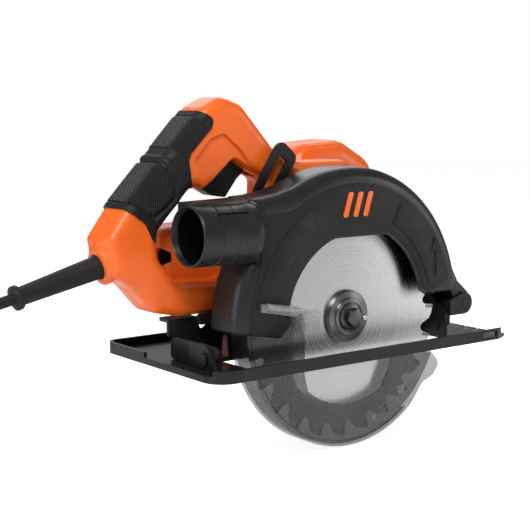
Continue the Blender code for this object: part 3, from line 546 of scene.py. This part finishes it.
ORANGE = orange_plastic()
SKIN, FACE, BLACK, SHADE_AND_LATCH_BLACK = black_skin(), black_face(), black_plastic(), shade_and_latch_black()
RUBBER, KNURL, PAINT = rubber(), knurled_rubber(), black_paint()
BLADE_STEEL = brushed_disc("blade_steel_look", (0.60, 0.60, 0.59), 0.26, 1400, (0, 0, BLADE_Z))
FLANGE_STEEL = brushed_disc("flange_steel_look", (0.20, 0.20, 0.205), 0.34, 1500, (0, 0, BLADE_Z))
STEEL = metal("steel_look", (0.55, 0.55, 0.54), 0.26, 0.38)
DARK_STEEL = metal("dark_steel_look", (0.13, 0.13, 0.135), 0.32, 0.45)
CARBIDE = metal("carbide_look", (0.35, 0.35, 0.34), 0.35, 0.5)
SMOKE = see_through("smoke_plastic_look", (0.03, 0.03, 0.031), 0.50, 0.16)
CLEAR = see_through("clear_plastic_look", (0.40, 0.41, 0.42), 0.38, 0.04)
SLOT_LOOKS = {
    "orange_plastic": ORANGE, "black_plastic": BLACK, "black_rubber": RUBBER, "black_paint": PAINT,
    "steel": STEEL, "dark_steel": DARK_STEEL, "smoke_plastic": SMOKE, "clear_plastic": CLEAR,
    "copper": metal("copper_look", (0.62, 0.26, 0.11), 0.3, 0.42),
    "brass": metal("brass_look", (0.72, 0.5, 0.2), 0.3, 0.42),
    "cast_metal": metal("cast_metal_look", (0.42, 0.42, 0.43), 0.45, 0.6, 260, 0.25),
    "carbon": plastic("carbon_look", (0.02, 0.02, 0.02), (0.035, 0.035, 0.035), 0.7, 0.85).material,
}


# Blackened pins and a bolt that look unlike the rest of their material
NODE_LOOKS = {
    "depth_pin": PAINT, "front_bevel_pin": PAINT, "rear_bevel_pin": PAINT, "depth_bolt": DARK_STEEL,
}


def dress_nodes():
    """Gives every CAD node the finished look of its material, and softens the edges of the painted and
    see-through ones.
    """
    for part in frame["record"]["subparts"]:
        obj = NODES[part["node"]]
        obj.data.materials.clear()
        obj.data.materials.append(NODE_LOOKS.get(part["node"], SLOT_LOOKS[part["material_slot"]]))
        if part["material_slot"] in ("black_paint", "smoke_plastic", "clear_plastic"):
            soft = obj.modifiers.new("edge", "BEVEL")
            soft.width = 0.5 * MM
            soft.segments = 2
            soft.limit_method = "ANGLE"
            soft.angle_limit = radians(40)


# ---------------------------------------------------------------- handle

HANDLE = [
    (-128, 36.3, 10), (-150, 41, 8), (-167, 60, 6), (-186, 72, 4), (-190, 97, 5), (-172, 121, 16),
    (-106, 190, 14), (-90, 198, 12), (-72, 192, 18), (-40, 157, 20), (-16, 148, 14), (36, 148, 14),
    (48, 120, 6), (48, 54, 0), (-30, 36.3, 4),
]
OPENING = [
    (-146, 80, 8), (-130, 60, 12), (-88, 58, 16), (-50, 70, 14), (-46, 134, 6), (-66, 143, 4),
    (-79, 151, 3), (-99, 134, 8), (-107, 129, 6), (-118, 132, 6), (-148, 100, 8),
]
TAIL = [(-134, 46, 12), (-118, 37.5, 8), (-20, 37.5, 4), (-20, 104, 6), (-70, 104, 20), (-128, 100, 12)]
GRIP_AREA = [
    (-196, 126, 0), (-176, 119, 8), (-160, 108, 6), (-153, 95, 2), (-138, 88, 0), (-112, 127, 0),
    (-119, 134, 5), (-123, 153, 8), (-101, 175, 4), (-100, 181, 3), (-106, 185, 3), (-124, 194, 0),
    (-150, 200, 0),
]
HANDLE_SOFT = 7.0
POCKET_DEEP = 2.2
UPPER_PAD = [(-122.6, 185), (-107, 180), (-106, 176.5), (-120.5, 158), (-120, 141), (-125, 140),
             (-130, 153), (-138, 163), (-147, 166)]
LOWER_PAD = [(-163, 155), (-153, 155), (-142, 145), (-136.5, 134), (-136, 126), (-143, 119.5),
             (-152, 113.5), (-162, 115.5), (-187, 130)]
GRIP_BAND = [(-196, 132), (-167, 121), (-152, 110), (-147, 96), (-158, 100), (-176, 116), (-200, 126)]
TRIGGER_ROOM = [(-92, 160, 2), (-66, 160, 2), (-50, 140, 2), (-60, 124, 2), (-79, 112, 2),
                (-112, 122, 2), (-108, 134, 2)]
POCKET = [(-116, 152, 3), (-102, 167, 5), (-90, 171, 6), (-74, 158, 6), (-58, 138, 3), (-58, 118, 0),
          (-106, 118, 0), (-111, 136, 6)]


def handle_body(grow=0.0):
    """Solid of both handle halves, with rounded edges."""
    low, high = HANDLE_NEAR - grow, HANDLE_FAR + grow
    return soft_slabs(grown(HANDLE, grow), [grown(OPENING, -grow)], low, high, HANDLE_SOFT + grow)


def depth_inside(spots, corners):
    """How far each point lies inside a closed outline; outside it is negative."""
    nearest = np.full(len(spots), np.inf)
    inside = np.zeros(len(spots), dtype=bool)
    for start, end in zip(corners, [*corners[1:], corners[0]]):
        start, edge = np.array(start, dtype=float), np.subtract(end, start)
        share = np.clip((spots - start) @ edge / (edge @ edge), 0, 1)
        nearest = np.minimum(nearest, np.linalg.norm(spots - start - np.outer(share, edge), axis=1))
        crossed = (start[1] > spots[:, 1]) != (end[1] > spots[:, 1])
        if edge[1]:
            inside ^= crossed & (spots[:, 0] < start[0] + (spots[:, 1] - start[1]) * edge[0] / edge[1])
    return np.where(inside, nearest, -nearest)


def raise_pads(mesh):
    """Swells the sleeve's two pads and its end band, with grooves and a rib round the lower pad."""
    count = len(mesh.vertices)
    spots = np.empty(count * 3, dtype=np.float32)
    normals = np.empty(count * 3, dtype=np.float32)
    mesh.vertices.foreach_get("co", spots)
    mesh.vertices.foreach_get("normal", normals)
    spots, normals = spots.reshape(-1, 3), normals.reshape(-1, 3)
    flat = spots[:, [0, 2]].astype(float)
    upper, lower = depth_inside(flat, UPPER_PAD), depth_inside(flat, LOWER_PAD)
    band = depth_inside(flat, GRIP_BAND)
    lift = np.interp(lower, [-8.5, -7, -4.6, -3.2, -2.6, -1.2, -0.6, 0.8],
                     [0, 0.9, 0.9, -0.5, -0.7, -0.7, 0, 0.8])
    lift = np.where(upper > -1, np.interp(upper, [-1, 0.6], [-0.4, 0.7]), lift)
    lift = np.where(band > 0, np.interp(band, [0, 1.2], [-0.6, 0.5]), lift)
    mesh.vertices.foreach_set("co", (spots + normals * lift[:, None]).ravel().astype(np.float32))
    mesh.update()
    return mesh


def make_sleeve():
    """Rubber sleeve over the grip: knurled pads, grooves and a smooth rib."""
    skin = raise_pads(fused(handle_body(1.0), 0.9, 5))
    area = plate("Y", [rounded(GRIP_AREA)], HANDLE_NEAR - 10, HANDLE_FAR + 10)
    skin = boolean(boolean(skin, [area], "INTERSECT"), [fused(handle_body(-0.4))])
    centres = np.empty(len(skin.polygons) * 3, dtype=np.float32)
    skin.polygons.foreach_get("center", centres)
    flat = centres.reshape(-1, 3)[:, [0, 2]].astype(float)
    knurled = np.maximum(depth_inside(flat, UPPER_PAD), depth_inside(flat, LOWER_PAD)) > 1
    sleeve = piece("grip_sleeve_skin", skin, RUBBER, "head", ["grip_sleeve"], more_looks=[KNURL])
    sleeve.data.polygons.foreach_set("material_index", knurled.astype(np.int32))
    sleeve.data.update()


def make_handle():
    """Two orange mouldings with the trigger's pocket, the sleeve and the front handle."""
    tail = soft_slabs(TAIL, [], HANDLE_FAR - 10, HANDLE_FAR + 26, 9)
    collar = lathe([(0, 1.5), (12.5, 1.5), (14.3, 0.3), (14.5, -2.5), (13.2, -4.5), (13.4, -18),
                    (0, -24)], BOOT_START, BOOT_AXIS)
    body = fused([*handle_body(), *tail, collar])
    socket = lathe([(0, 20), (9.4, 20), (9.4, -18), (0, -18)], BOOT_START, BOOT_AXIS)
    trigger_room = plate("Y", [rounded(TRIGGER_ROOM)], HANDLE_MID - 6.5, HANDLE_MID + 6.5)
    pockets = [plate("Y", [rounded(POCKET)], side - POCKET_DEEP, side + POCKET_DEEP, 1.4, 1)
               for side in (HANDLE_NEAR, HANDLE_FAR)]
    vent = circle((66, 78), 7, 32)
    vent_hole = plate("X", [vent], -145, -121)
    body = boolean(body, [motor_copy(), socket, trigger_room, *pockets, vent_hole])
    # Painted shade: a dead-black disc at the bottom of the vent hole stands for the dark inside of the vent
    piece("tail_vent_painted_shade", plate("X", [vent], -124, -121.2, 0.2), SHADE_AND_LATCH_BLACK, "head")
    near = split(body.copy(), HANDLE_MID - PLAY / 2, True)
    far = split(body, HANDLE_MID + PLAY / 2, False)
    piece("handle_right_shell", near, ORANGE, "head", ["handle_right"])
    piece("handle_left_shell", far, ORANGE, "head", ["handle_left"])
    make_sleeve()
    corners = [(0, 84, 4), (92, 70, 4), (98, 142, 20), (60, 163, 25), (16, 160, 20), (0, 135, 14)]
    dome = fused(soft_slabs(corners, [], HANDLE_FAR + PLAY, 121, 12))
    piece("front_handle_shell", boolean(dome, [motor_copy()]), ORANGE, "head", ["front_handle"])


def motor_copy():
    """The motor housing's bore, as a cutter."""
    radius = MOTOR_R + PLAY
    return lathe([(0, 140), (radius, 140), (radius, 20), (0, 20)], (MOTOR_X, 0, MOTOR_Z), steps=64)


# ---------------------------------------------------------------- cord

COIL_MIDDLE = (COIL_LOW + COIL_TOP) / 2
COIL_R = (COIL_TOP.x - COIL_LOW.x) / 2


def smooth_route(stops, spacing):
    """Points at about an even spacing on a smooth curve through the route's stops."""
    stops = [Vector(stop) for stop in stops]
    padded = [stops[0] * 2 - stops[1], *stops, stops[-1] * 2 - stops[-2]]
    out = []
    for n in range(len(stops) - 1):
        a, b, c, d = padded[n:n + 4]
        count = max(2, round((c - b).length / spacing))
        for k in range(count):
            t = k / count
            out.append(0.5 * (2 * b + (c - a) * t + (2 * a - 5 * b + 4 * c - d) * t ** 2
                              + (3 * b - a - 3 * c + d) * t ** 3))
    return [*out, stops[-1]]


def coil_points(count_per_turn=36):
    """The coil's turns: (degrees gone round, radius, height) stops joined by smooth steps."""
    outer, inner = 50.4, 41.6
    low, mid, top = (FLOOR_Z + CORD_R + layer * 8.7 for layer in range(3))
    stops = [
        (0, COIL_R + CORD_R + 0.3, low), (120, outer, low), (360, outer, low), (480, inner, low),
        (630, inner, low), (720, inner, mid), (990, inner, mid), (1080, outer, mid), (1260, outer, mid),
        (1350, outer, top), (1440, inner, top), (1710, inner, top), (1800, outer, top),
    ]
    out = []
    step = 360 / count_per_turn
    for (a, r_a, z_a), (b, r_b, z_b) in zip(stops, stops[1:]):
        for n in range(round((b - a) / step)):
            t = n * step / (b - a)
            t = t * t * (3 - 2 * t)
            turn = radians(180 - (a + n * step))
            radius = r_a + (r_b - r_a) * t
            out.append(Vector((COIL_MIDDLE.x + radius * cos(turn), COIL_MIDDLE.y + radius * sin(turn),
                               z_a + (z_b - z_a) * t)))
    return out


def make_cord():
    """Strain relief, cord, coil and plug."""
    flange = [(0, 0), (5.2, 0), (6.4, 0.8), (8.6, 1.2), (8.9, 2.2), (8.9, 4.6), (8.4, 5.6), (6.9, 6),
              (6.7, 8)]
    profile = [(radius, BOOT_LONG - back) for radius, back in flange]
    profile += [(8.5, 6), (9.0, 2), (9.0, -15), (0, -15)]
    piece("cord_boot_moulding", lathe(profile, BOOT_START, BOOT_AXIS), RUBBER, "head", ["cord_boot"])
    lying = FLOOR_Z + CORD_R
    start = BOOT_START + BOOT_AXIS * (BOOT_LONG + 0.3)
    side = COIL_R + CORD_R + 0.3
    plug_y, plug_z = middle_of("plug").y, middle_of("plug").z
    x, y = COIL_MIDDLE.x, COIL_MIDDLE.y
    stops = [start, start + BOOT_AXIS * 22, (-310, 56, 40), (-345, 60, 4), (-372, 66, -34), (-394, 80, -62),
             (-410, 104, lying), (x - side, y - 20, lying), (x - side, y, lying)]
    coil = coil_points()
    tail = [coil[-1], (x - 50.2, y + 3, FLOOR_Z + 25.7), (x - 53, y + 31.5, plug_z - 1),
            (x - 44, y + 62, plug_z - 1), (x - 30, plug_y - 1, plug_z), (x - 16.3, plug_y, plug_z)]
    line = smooth_route(stops, 14)[:-1] + coil[:-1] + smooth_route(tail, 8)
    curve = bpy.data.curves.new("power_cord", "CURVE")
    curve.dimensions = "3D"
    curve.bevel_depth = CORD_R * MM
    curve.bevel_resolution = 4
    curve.use_fill_caps = True
    spline = curve.splines.new("POLY")
    spline.points.add(len(line) - 1)
    for point, spot in zip(spline.points, line):
        point.co = (*place(*spot), 1)
    curve.materials.append(RUBBER)
    cord = bpy.data.objects.new("power_cord", curve)
    bpy.context.scene.collection.objects.link(cord)
    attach(cord, "head")
    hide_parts("cord_run", "cord_coil", "cord_tail")
    plug = make_plug(plug_y, plug_z)


def make_plug(y, z):
    """Moulded plug with a ribbed neck, finger grips and two pins."""
    x = COIL_MIDDLE.x
    profile = [(0, 36), (15.5, 36), (17, 35.2), (18, 33), (18, 19), (17, 16), (12, 5)]
    for n in range(4):
        top = 3 - n * 4.2
        profile += [(8.6 - n * 0.6, top), (8.6 - n * 0.6, top - 2.4), (6.6 - n * 0.4, top - 2.8)]
    profile += [(5.2, -15.5), (0, -16)]
    body = lathe(profile, (x, y, z), (1, 0, 0))
    grips, pins = [], []
    for side in (-1, 1):
        inner, outer = y + side * 16, y + side * 20
        grip = [(inner, z - 8, 1), (outer, z - 8, 1), (outer, z + 8, 1), (inner, z + 8, 1)]
        grips.append(plate("X", [rounded(grip)], x + 20, x + 31))
        pin = [(0, 25), (1.6, 25), (2.4, 23.8), (2.4, 0), (0, 0)]
        pins.append(lathe(pin, (x + 30.2, y + side * 9.5, z), (1, 0, 0), 24))
    body = boolean(body, grips)
    piece("plug_pins", joined(pins), STEEL, "head")
    return piece("plug_moulding", body, BLACK, "head", ["plug"])


# ---------------------------------------------------------------- guards

def guard_outline(inset=0.0):
    """Outline in x, z of the upper guard from its front foot over the top to its rear foot."""
    over = arc((0, BLADE_Z), GUARD_R - inset, 8, 112, 48)
    last = over[-1]
    port_top = PORT_Z + 25 - inset
    swell = [(last[0] - 6, last[1] - 2.6), (last[0] - 12, last[1] - 4.9), (last[0] - 26, port_top + 2.9),
             (last[0] - 40, port_top + 0.8)]
    limb = arc((0, BLADE_Z), REAR_R - inset, 153, 181, 12)
    return [*over, *swell, (REAR_X + inset, port_top), (REAR_X + inset, limb[0][1]), *limb]


def guard_window():
    """Edge of the window in the guard's cover, from the rear foot to the front foot."""
    left = arc((0, BLADE_Z), 66, 166, 108, 16)
    right = arc((0, BLADE_Z), 71, 62, 12, 16)
    return [(-73, 21), (-64, 29), *left, *right, (77, 39.5)]


def guard_solid(near, far, inset, radius, bottom, steps=5):
    """Nested slabs of the guard's outline with its near long edge rounded."""
    slabs = []
    for n in range(steps + 1):
        angle = pi / 2 * n / steps
        depth, step_in = radius * (1 - cos(angle)), radius * (1 - sin(angle))
        slabs.append(plate("Y", [guard_outline(inset + step_in) + bottom], near + depth, far))
    return slabs


def make_upper_guard():
    """Guard in two mouldings, its flat face with raised panels, the port and the badge."""
    bottom = [(-73, 21), (-24, 21), (24, 21), (60, 39.5), (107, 40.5)]
    skin = fused(guard_solid(GUARD_NEAR, GUARD_FAR, 0, 9.5, bottom), 1.2, 6)
    below = [(-109.8, -5), (113, -5), (113, 42)]
    room = fused(guard_solid(GUARD_NEAR + GUARD_WALL, GUARD_FAR - GUARD_WALL, GUARD_WALL, 7.6,
                             below, 3), 1.6, 3)
    bore = lathe([(0, 48), (PORT_BORE, 48), (PORT_BORE, -5), (0, -5)],
                 (PORT_MOUTH, 0, PORT_Z), (1, 0, 0))
    nose = lathe([(0, 20), (24.3, 20), (24.3, 0), (0, 0)], (0, 10, BLADE_Z))
    under = plate("Y", [[(-23, 5), (23, 5), (23, 29), (-23, 29)]], 12, 25)
    passage = port_passage()
    skin = boolean(skin, [room, bore, nose, under, passage])
    near = split(skin.copy(), GUARD_SEAM, True)
    far = split(skin, GUARD_SEAM + PLAY, False)
    window = plate("Y", [guard_window() + [(77, -10), (-73, -10)]], GUARD_NEAR - 8, GUARD_SEAM + 5)
    near = boolean(near, [window])
    pin_x, pin_z = middle_of("depth_pin").x, middle_of("depth_pin").z
    lug = plate("Y", [[(100, 42), (109.8, 40.5), (115.5, 30), *arc((pin_x, pin_z), 8.2, 180, 360, 24),
                       (130, 37), (118, 47), (108, 64)], circle((pin_x, pin_z), 4.3, 24)], -6.5, 16.5, 0.8)
    piece("guard_near_shell", near, SKIN, "head", ["guard_cover"])
    piece("guard_far_shell", far, SKIN, "head", ["upper_guard"])
    piece("guard_lug", lug, SKIN, "head")
    centre = (0, BLADE_Z)
    face = [*arc(centre, 103.5, 12, 110, 40), (-47, 121.5), (-62, 114), (-91, 112), (-91, 76),
            *arc(centre, 101.5, 154, 180, 10), (-98, 26), (-72, 23.5), (-63.5, 31),
            *arc(centre, 68, 165, 108, 16), *arc(centre, 73, 62, 14, 16), (79, 41.5)]
    flat = plate("Y", [face], GUARD_NEAR - 0.5, GUARD_NEAR + 1, 0.3)
    piece("guard_face_panel", flat, FACE, "head")
    make_panels()
    make_port()


def make_panels():
    """Raised panels on the guard's face, the arrow and the generic three-bar badge."""
    top = GUARD_NEAR - 0.5
    centre = (0, BLADE_Z)
    left = rounded([*((x, z, 0) for x, z in arc(centre, 97, 168, 118, 12)), (-42, 106, 2), (-42, 98, 3),
                    *((x, z, 0) for x, z in arc(centre, 78, 118, 164, 12)), (-76, 46, 2), (-97, 46, 2)])
    right = rounded([*((x, z, 0) for x, z in arc(centre, 98, 62, 17, 12)), (93, 51, 2), (79, 49, 2),
                     *((x, z, 0) for x, z in arc(centre, 80, 20, 62, 12))])
    for name, outline in (("guard_panel_rear", left), ("guard_panel_front", right)):
        piece(name, plate("Y", [outline], top - 0.6, top + 0.4, 0.3), FACE, "head")
    shaft = plate("Y", [[(85.5, 54), (87.5, 54), (86.5, 76), (84.5, 76)]], top - 1.3, top, 0.3)
    head = plate("Y", [[(80, 76), (92, 74), (84, 86)]], top - 1.3, top, 0.3)
    piece("guard_arrow", joined([shaft, head]), FACE, "head")
    bars = []
    for n in range(3):
        x = -14 + n * 10
        bar = [(x, 107, 1.5), (x + 5, 107, 1.5), (x + 11, 126, 1.5), (x + 6, 126, 1.5)]
        bars.append(plate("Y", [rounded(bar)], top - 0.6, top, 0.2))
    piece("guard_badge_bars", joined(bars), ORANGE, "head")


def port_passage():
    """The way from the guard's inside into the dust port, as a cutter."""
    low, high = PORT_Z - 15, PORT_Z + 15
    return plate("Y", [[(-101, low), (-89, low), (-89, high), (-101, high)]], -8, 12)


def make_port():
    """Round dust port with its ring lines, lip and the small latch on top."""
    spot = (PORT_MOUTH, 0, PORT_Z)
    bore = PORT_BORE
    profile = [(0, 52), (PORT_R - 2, 52), (PORT_R + 0.6, 50.5), (PORT_R + 0.9, 47), (PORT_R + 0.6, 43),
               (PORT_R, 41.5), (PORT_R, 30.6), (PORT_R - 0.4, 30.3), (PORT_R - 0.4, 29.7),
               (PORT_R, 29.4), (PORT_R, 17.4), (PORT_R - 0.5, 17), (PORT_R - 0.5, 16.2), (PORT_R, 15.8),
               (PORT_R, 1.2), (PORT_R - 0.5, 0.3), (PORT_R - 1, 0), (bore + 0.3, 0), (bore, 0.4),
               (bore, 49.5), (0, 49.5)]
    piece("dust_port", boolean(lathe(profile, spot, (1, 0, 0), 72), [port_passage()]), SKIN, "head")
    # Painted shade: a dead-black tube lines the bore so that the port's inside reads black
    tube = lathe([(bore - 1, 49), (bore - 0.1, 49), (bore - 0.1, 5), (bore - 1, 5)], spot, (1, 0, 0), 48)
    piece("dust_port_painted_shade", tube, SHADE_AND_LATCH_BLACK, "head")
    start, end = PORT_MOUTH + 1, REAR_X + 2
    corners = [(start, PORT_Z + 17, 1), (end, PORT_Z + 17, 0), (end, PORT_Z + 25, 0),
               (start, PORT_Z + 23.5, 1)]
    roof = plate("Y", [rounded(corners)], -5, 14, 1.5)
    under = lathe([(0, 60), (PORT_R - 0.5, 60), (PORT_R - 0.5, -5), (0, -5)], spot, (1, 0, 0))
    piece("port_roof", boolean(roof, [under]), SKIN, "head")
    low, high = PORT_Z + 14.6, PORT_Z + 16.4
    corners = [(-130, low, 0.6), (-104, low, 0.6), (-104, high, 0.6), (-130, high, 0.6)]
    piece("port_latch", plate("Y", [rounded(corners)], -15.6, -10), SHADE_AND_LATCH_BLACK, "head")


# ---------------------------------------------------------------- blade and lower guard

TEETH = 24
# One tooth, as shares of the pitch behind its tip and of the blade's radius
TOOTH = ((0.0, 1.0), (0.10, 0.997), (0.30, 0.985), (0.46, 0.965), (0.56, 0.93), (0.64, 0.898),
         (0.74, 0.878), (0.84, 0.876), (0.92, 0.888), (0.97, 0.915), (0.985, 0.95))


def make_blade():
    """Blade with hooked gullets and carbide tips, its flange and its bolt."""
    loop, tips = [], []
    pitch = 2 * pi / TEETH
    for tooth in range(TEETH):
        for ahead, share in TOOTH:
            a = -(tooth + ahead) * pitch
            loop.append((BLADE_R * share * cos(a), BLADE_Z + BLADE_R * share * sin(a)))
        a = -tooth * pitch
        spot, out = Vector((0, BLADE_Z)), Vector((cos(a), sin(a)))
        back = Vector((out.y, -out.x))
        root, tip = spot + out * (BLADE_R - 8), spot + out * BLADE_R
        corners = [root + back * -0.2, tip + back * -0.2, tip + back * 2.8 - out * 0.2, root + back * 2.2]
        tips.append(plate("Y", [[tuple(c) for c in corners]], -1.2, 1.2, 0.2))
    loops = [loop, circle((0, BLADE_Z), 8.0, 32)]
    piece("blade_disc", plate("Y", loops, -0.9, 0.9), BLADE_STEEL, "blade_group", ["blade"])
    piece("blade_tips", joined(tips), CARBIDE, "blade_group")
    flange = [(4.1, -1.2), (20.5, -1.2), (20.5, -3.4), (19.6, -4.6), (15, -5.2), (14.4, -6.4), (12, -6.6),
              (11.6, -5.9), (4.1, -5.9)]
    piece("outer_flange_disc", lathe(flange, (0, 0, BLADE_Z), steps=72), FLANGE_STEEL, "blade_group",
          ["outer_flange"])
    washer = lathe([(3.8, -6.1), (10.6, -6.1), (10.6, -7.4), (10.1, -7.8), (3.8, -7.8)],
                   (0, 0, BLADE_Z))
    flats = [(7.6 * cos(radians(60 * n + 12)), BLADE_Z + 7.6 * sin(radians(60 * n + 12))) for n in range(6)]
    head = plate("Y", [flats], -13.2, -7.4, 0.7, 3)
    shank = lathe([(0, 15), (3.8, 15), (3.8, -8), (0, -8)], (0, 0, BLADE_Z), steps=32)
    piece("blade_bolt_head", joined([washer, head, shank]), DARK_STEEL, "blade_group", ["blade_bolt"])
    pin = lathe([(0, -7.0), (2.4, -7.0), (2.4, -11.6), (1.9, -12.2), (0, -12.2)],
                (10.5, 0, BLADE_Z - 1), steps=24)
    piece("flange_pin", pin, STEEL, "blade_group")


def make_lower_guard_details():
    """Rim line and arrow moulded on the clear guard, and ribs on its lever."""
    face = node_box("lower_guard")[0].y
    centre = (0, BLADE_Z)
    line = arc(centre, 97.4, -54, -200, 60) + arc(centre, 96.4, -200, -54, 60)
    rim = plate("Y", [line], face - 0.5, face + 0.3, 0.2)
    piece("lower_guard_rim_line", rim, SMOKE, "lower_guard")
    a, b = Vector((22, -54)), Vector((52, -36))
    along = (b - a).normalized()
    side = Vector((-along.y, along.x))
    arrow = [a + side * 2, a - side * 2.4, b - side * 2.4, b + side * 2]
    inner = [p + (Vector((37, -45)) - p) * 0.16 for p in arrow]
    loops = [[tuple(p) for p in arrow], [tuple(p) for p in inner]]
    arrow_plate = plate("Y", loops, face - 0.7, face + 0.3, 0.15)
    tip = [b + side * 7 - along * 3, b + along * 9 + side * 1, b - side * 3.2 + along * 0.5]
    tip_plate = plate("Y", [[tuple(p) for p in tip]], face - 0.7, face + 0.3, 0.15)
    piece("lower_guard_arrow", joined([arrow_plate, tip_plate]), CLEAR, "lower_guard")
    ribs = []
    for n in range(4):
        x = -88 + n * 8
        z = 47 - n * 1.45
        ribs.append(plate("Y", [[(x, z), (x + 2, z), (x + 2, z + 2.2), (x, z + 2.2)]], -22.4, -15, 0.3))
    edge = plate("Y", [[(-92, 46), (-60, 40.2), (-60, 42.6), (-92, 49.4)]], -23.6, -22.4, 0.3)
    corners = [(-62, 44, 1), (-41, 40, 2), (-44, 29, 2), (-58, 33, 2)]
    tray = plate("Y", [rounded(corners)], -21.5, -20.2, 0.3)
    bridge = plate("Z", [[(-60, -22), (-42, -20), (-42, -14), (-60, -15)]], 38.6, 40.4, 0.3)
    piece("guard_lever_ribs", joined([*ribs, edge, tray, bridge]), CLEAR, "lower_guard")


# ---------------------------------------------------------------- small details

def screw_head(name, spot, radius, body):
    """Round screw head with a cross recess; it stands towards +Y."""
    profile = [(0, 1.6), (radius * 0.6, 1.4), (radius * 0.92, 0.7), (radius, 0), (radius, -1.5),
               (0, -1.5)]
    dome = lathe(profile, spot, steps=32)
    x, y, z = spot
    arms = [plate("Y", [[(x - a, z - b), (x + a, z - b), (x + a, z + b), (x - a, z + b)]], y + 0.6, y + 3)
            for a, b in ((radius * 0.62, radius * 0.14), (radius * 0.14, radius * 0.62))]
    piece(name, boolean(dome, arms), DARK_STEEL, body)


def make_small_details():
    """Screws on the handle's far side and the marks on the shoe."""
    for n, (x, z) in enumerate([(-160, 78), (-140, 48), (-86, 188), (-62, 160)]):
        screw_head(f"handle_screw_{n + 1}", (x, HANDLE_FAR + 0.2, z), 3.4, "head")
    marks = []
    for n in range(9):
        y = SHOE_LOW.y + 10 + n * 10
        long = 10 if n % 5 == 0 else 6
        x = SHOE_HIGH.x - 13
        mark = [(x, y), (x + long, y), (x + long, y + 0.7), (x, y + 0.7)]
        marks.append(plate("Z", [mark], 2.4, 2.62))
    piece("shoe_scale_marks", joined(marks), STEEL, "shoe")


# ---------------------------------------------------------------- camera and light

def make_camera():
    """Camera at the photograph's angle: behind the saw on the blade side, a little above."""
    yaw, pitch, focal = radians(37.39), radians(7.45), 81.5
    look = Vector((sin(yaw) * cos(pitch), cos(yaw) * cos(pitch), -sin(pitch)))
    data = bpy.data.cameras.new("camera")
    data.lens = focal
    data.sensor_width = 36
    data.clip_start = 0.01
    camera = bpy.data.objects.new("camera", data)
    camera.location = place(-607.4, -692.6, 188.9)
    camera.rotation_mode = "QUATERNION"
    camera.rotation_quaternion = look.to_track_quat("-Z", "Y")
    bpy.context.scene.collection.objects.link(camera)
    bpy.context.scene.camera = camera


def area_light(name, spot, target, size, power):
    """A soft square light that faces a target."""
    data = bpy.data.lights.new(name, "AREA")
    data.size = size
    data.energy = power
    light = bpy.data.objects.new(name, data)
    light.location = spot
    light.rotation_mode = "QUATERNION"
    light.rotation_quaternion = (Vector(target) - Vector(spot)).to_track_quat("-Z", "Y")
    bpy.context.scene.collection.objects.link(light)


def make_stage():
    """White floor, white surroundings and four soft lights."""
    world = bpy.data.worlds.new("studio")
    world.use_nodes = True
    nodes, links = world.node_tree.nodes, world.node_tree.links
    nodes["Background"].inputs["Color"].default_value = (1, 1, 1, 1)
    seen = nodes.new("ShaderNodeLightPath").outputs["Is Camera Ray"]
    level = nodes.new("ShaderNodeMapRange")
    level.inputs["To Min"].default_value = 0.2
    level.inputs["To Max"].default_value = 1.0
    links.new(seen, level.inputs["Value"])
    links.new(level.outputs["Result"], nodes["Background"].inputs["Strength"])
    bpy.context.scene.world = world
    bpy.context.scene.view_settings.view_transform = "Standard"
    area_light("key", (-0.7, -0.8, 1.2), (0, 0, 0.05), 0.6, 19)
    area_light("fill", (-1.3, 0.1, 0.35), (0, 0, 0.05), 0.7, 5)
    area_light("rim", (0.5, 0.9, 1.0), (0, 0, 0.05), 1.2, 9)
    area_light("side", (1.2, -0.9, 0.3), (0, 0, 0.03), 0.5, 3)
    bpy.ops.mesh.primitive_plane_add(size=8, location=place(0, 0, FLOOR_Z - 0.5))
    floor = bpy.context.object
    floor.name = "floor"
    look = bpy.data.materials.new("floor_white")
    look.use_nodes = True
    shader = look.node_tree.nodes["Principled BSDF"]
    shader.inputs["Base Color"].default_value = (0.9, 0.9, 0.9, 1)
    shader.inputs["Roughness"].default_value = 0.8
    shader.inputs["Emission Color"].default_value = (1, 1, 1, 1)
    glow = look.node_tree.nodes.new("ShaderNodeMapRange")
    glow.inputs["To Min"].default_value = 0.2
    glow.inputs["To Max"].default_value = 0.8
    light_path = look.node_tree.nodes.new("ShaderNodeLightPath")
    look.node_tree.links.new(light_path.outputs["Is Camera Ray"], glow.inputs["Value"])
    look.node_tree.links.new(glow.outputs["Result"], shader.inputs["Emission Strength"])
    floor.data.materials.append(look)


make_camera()
make_stage()
dress_nodes()
make_cord()
make_handle()
make_upper_guard()
make_blade()
make_lower_guard_details()
make_small_details()
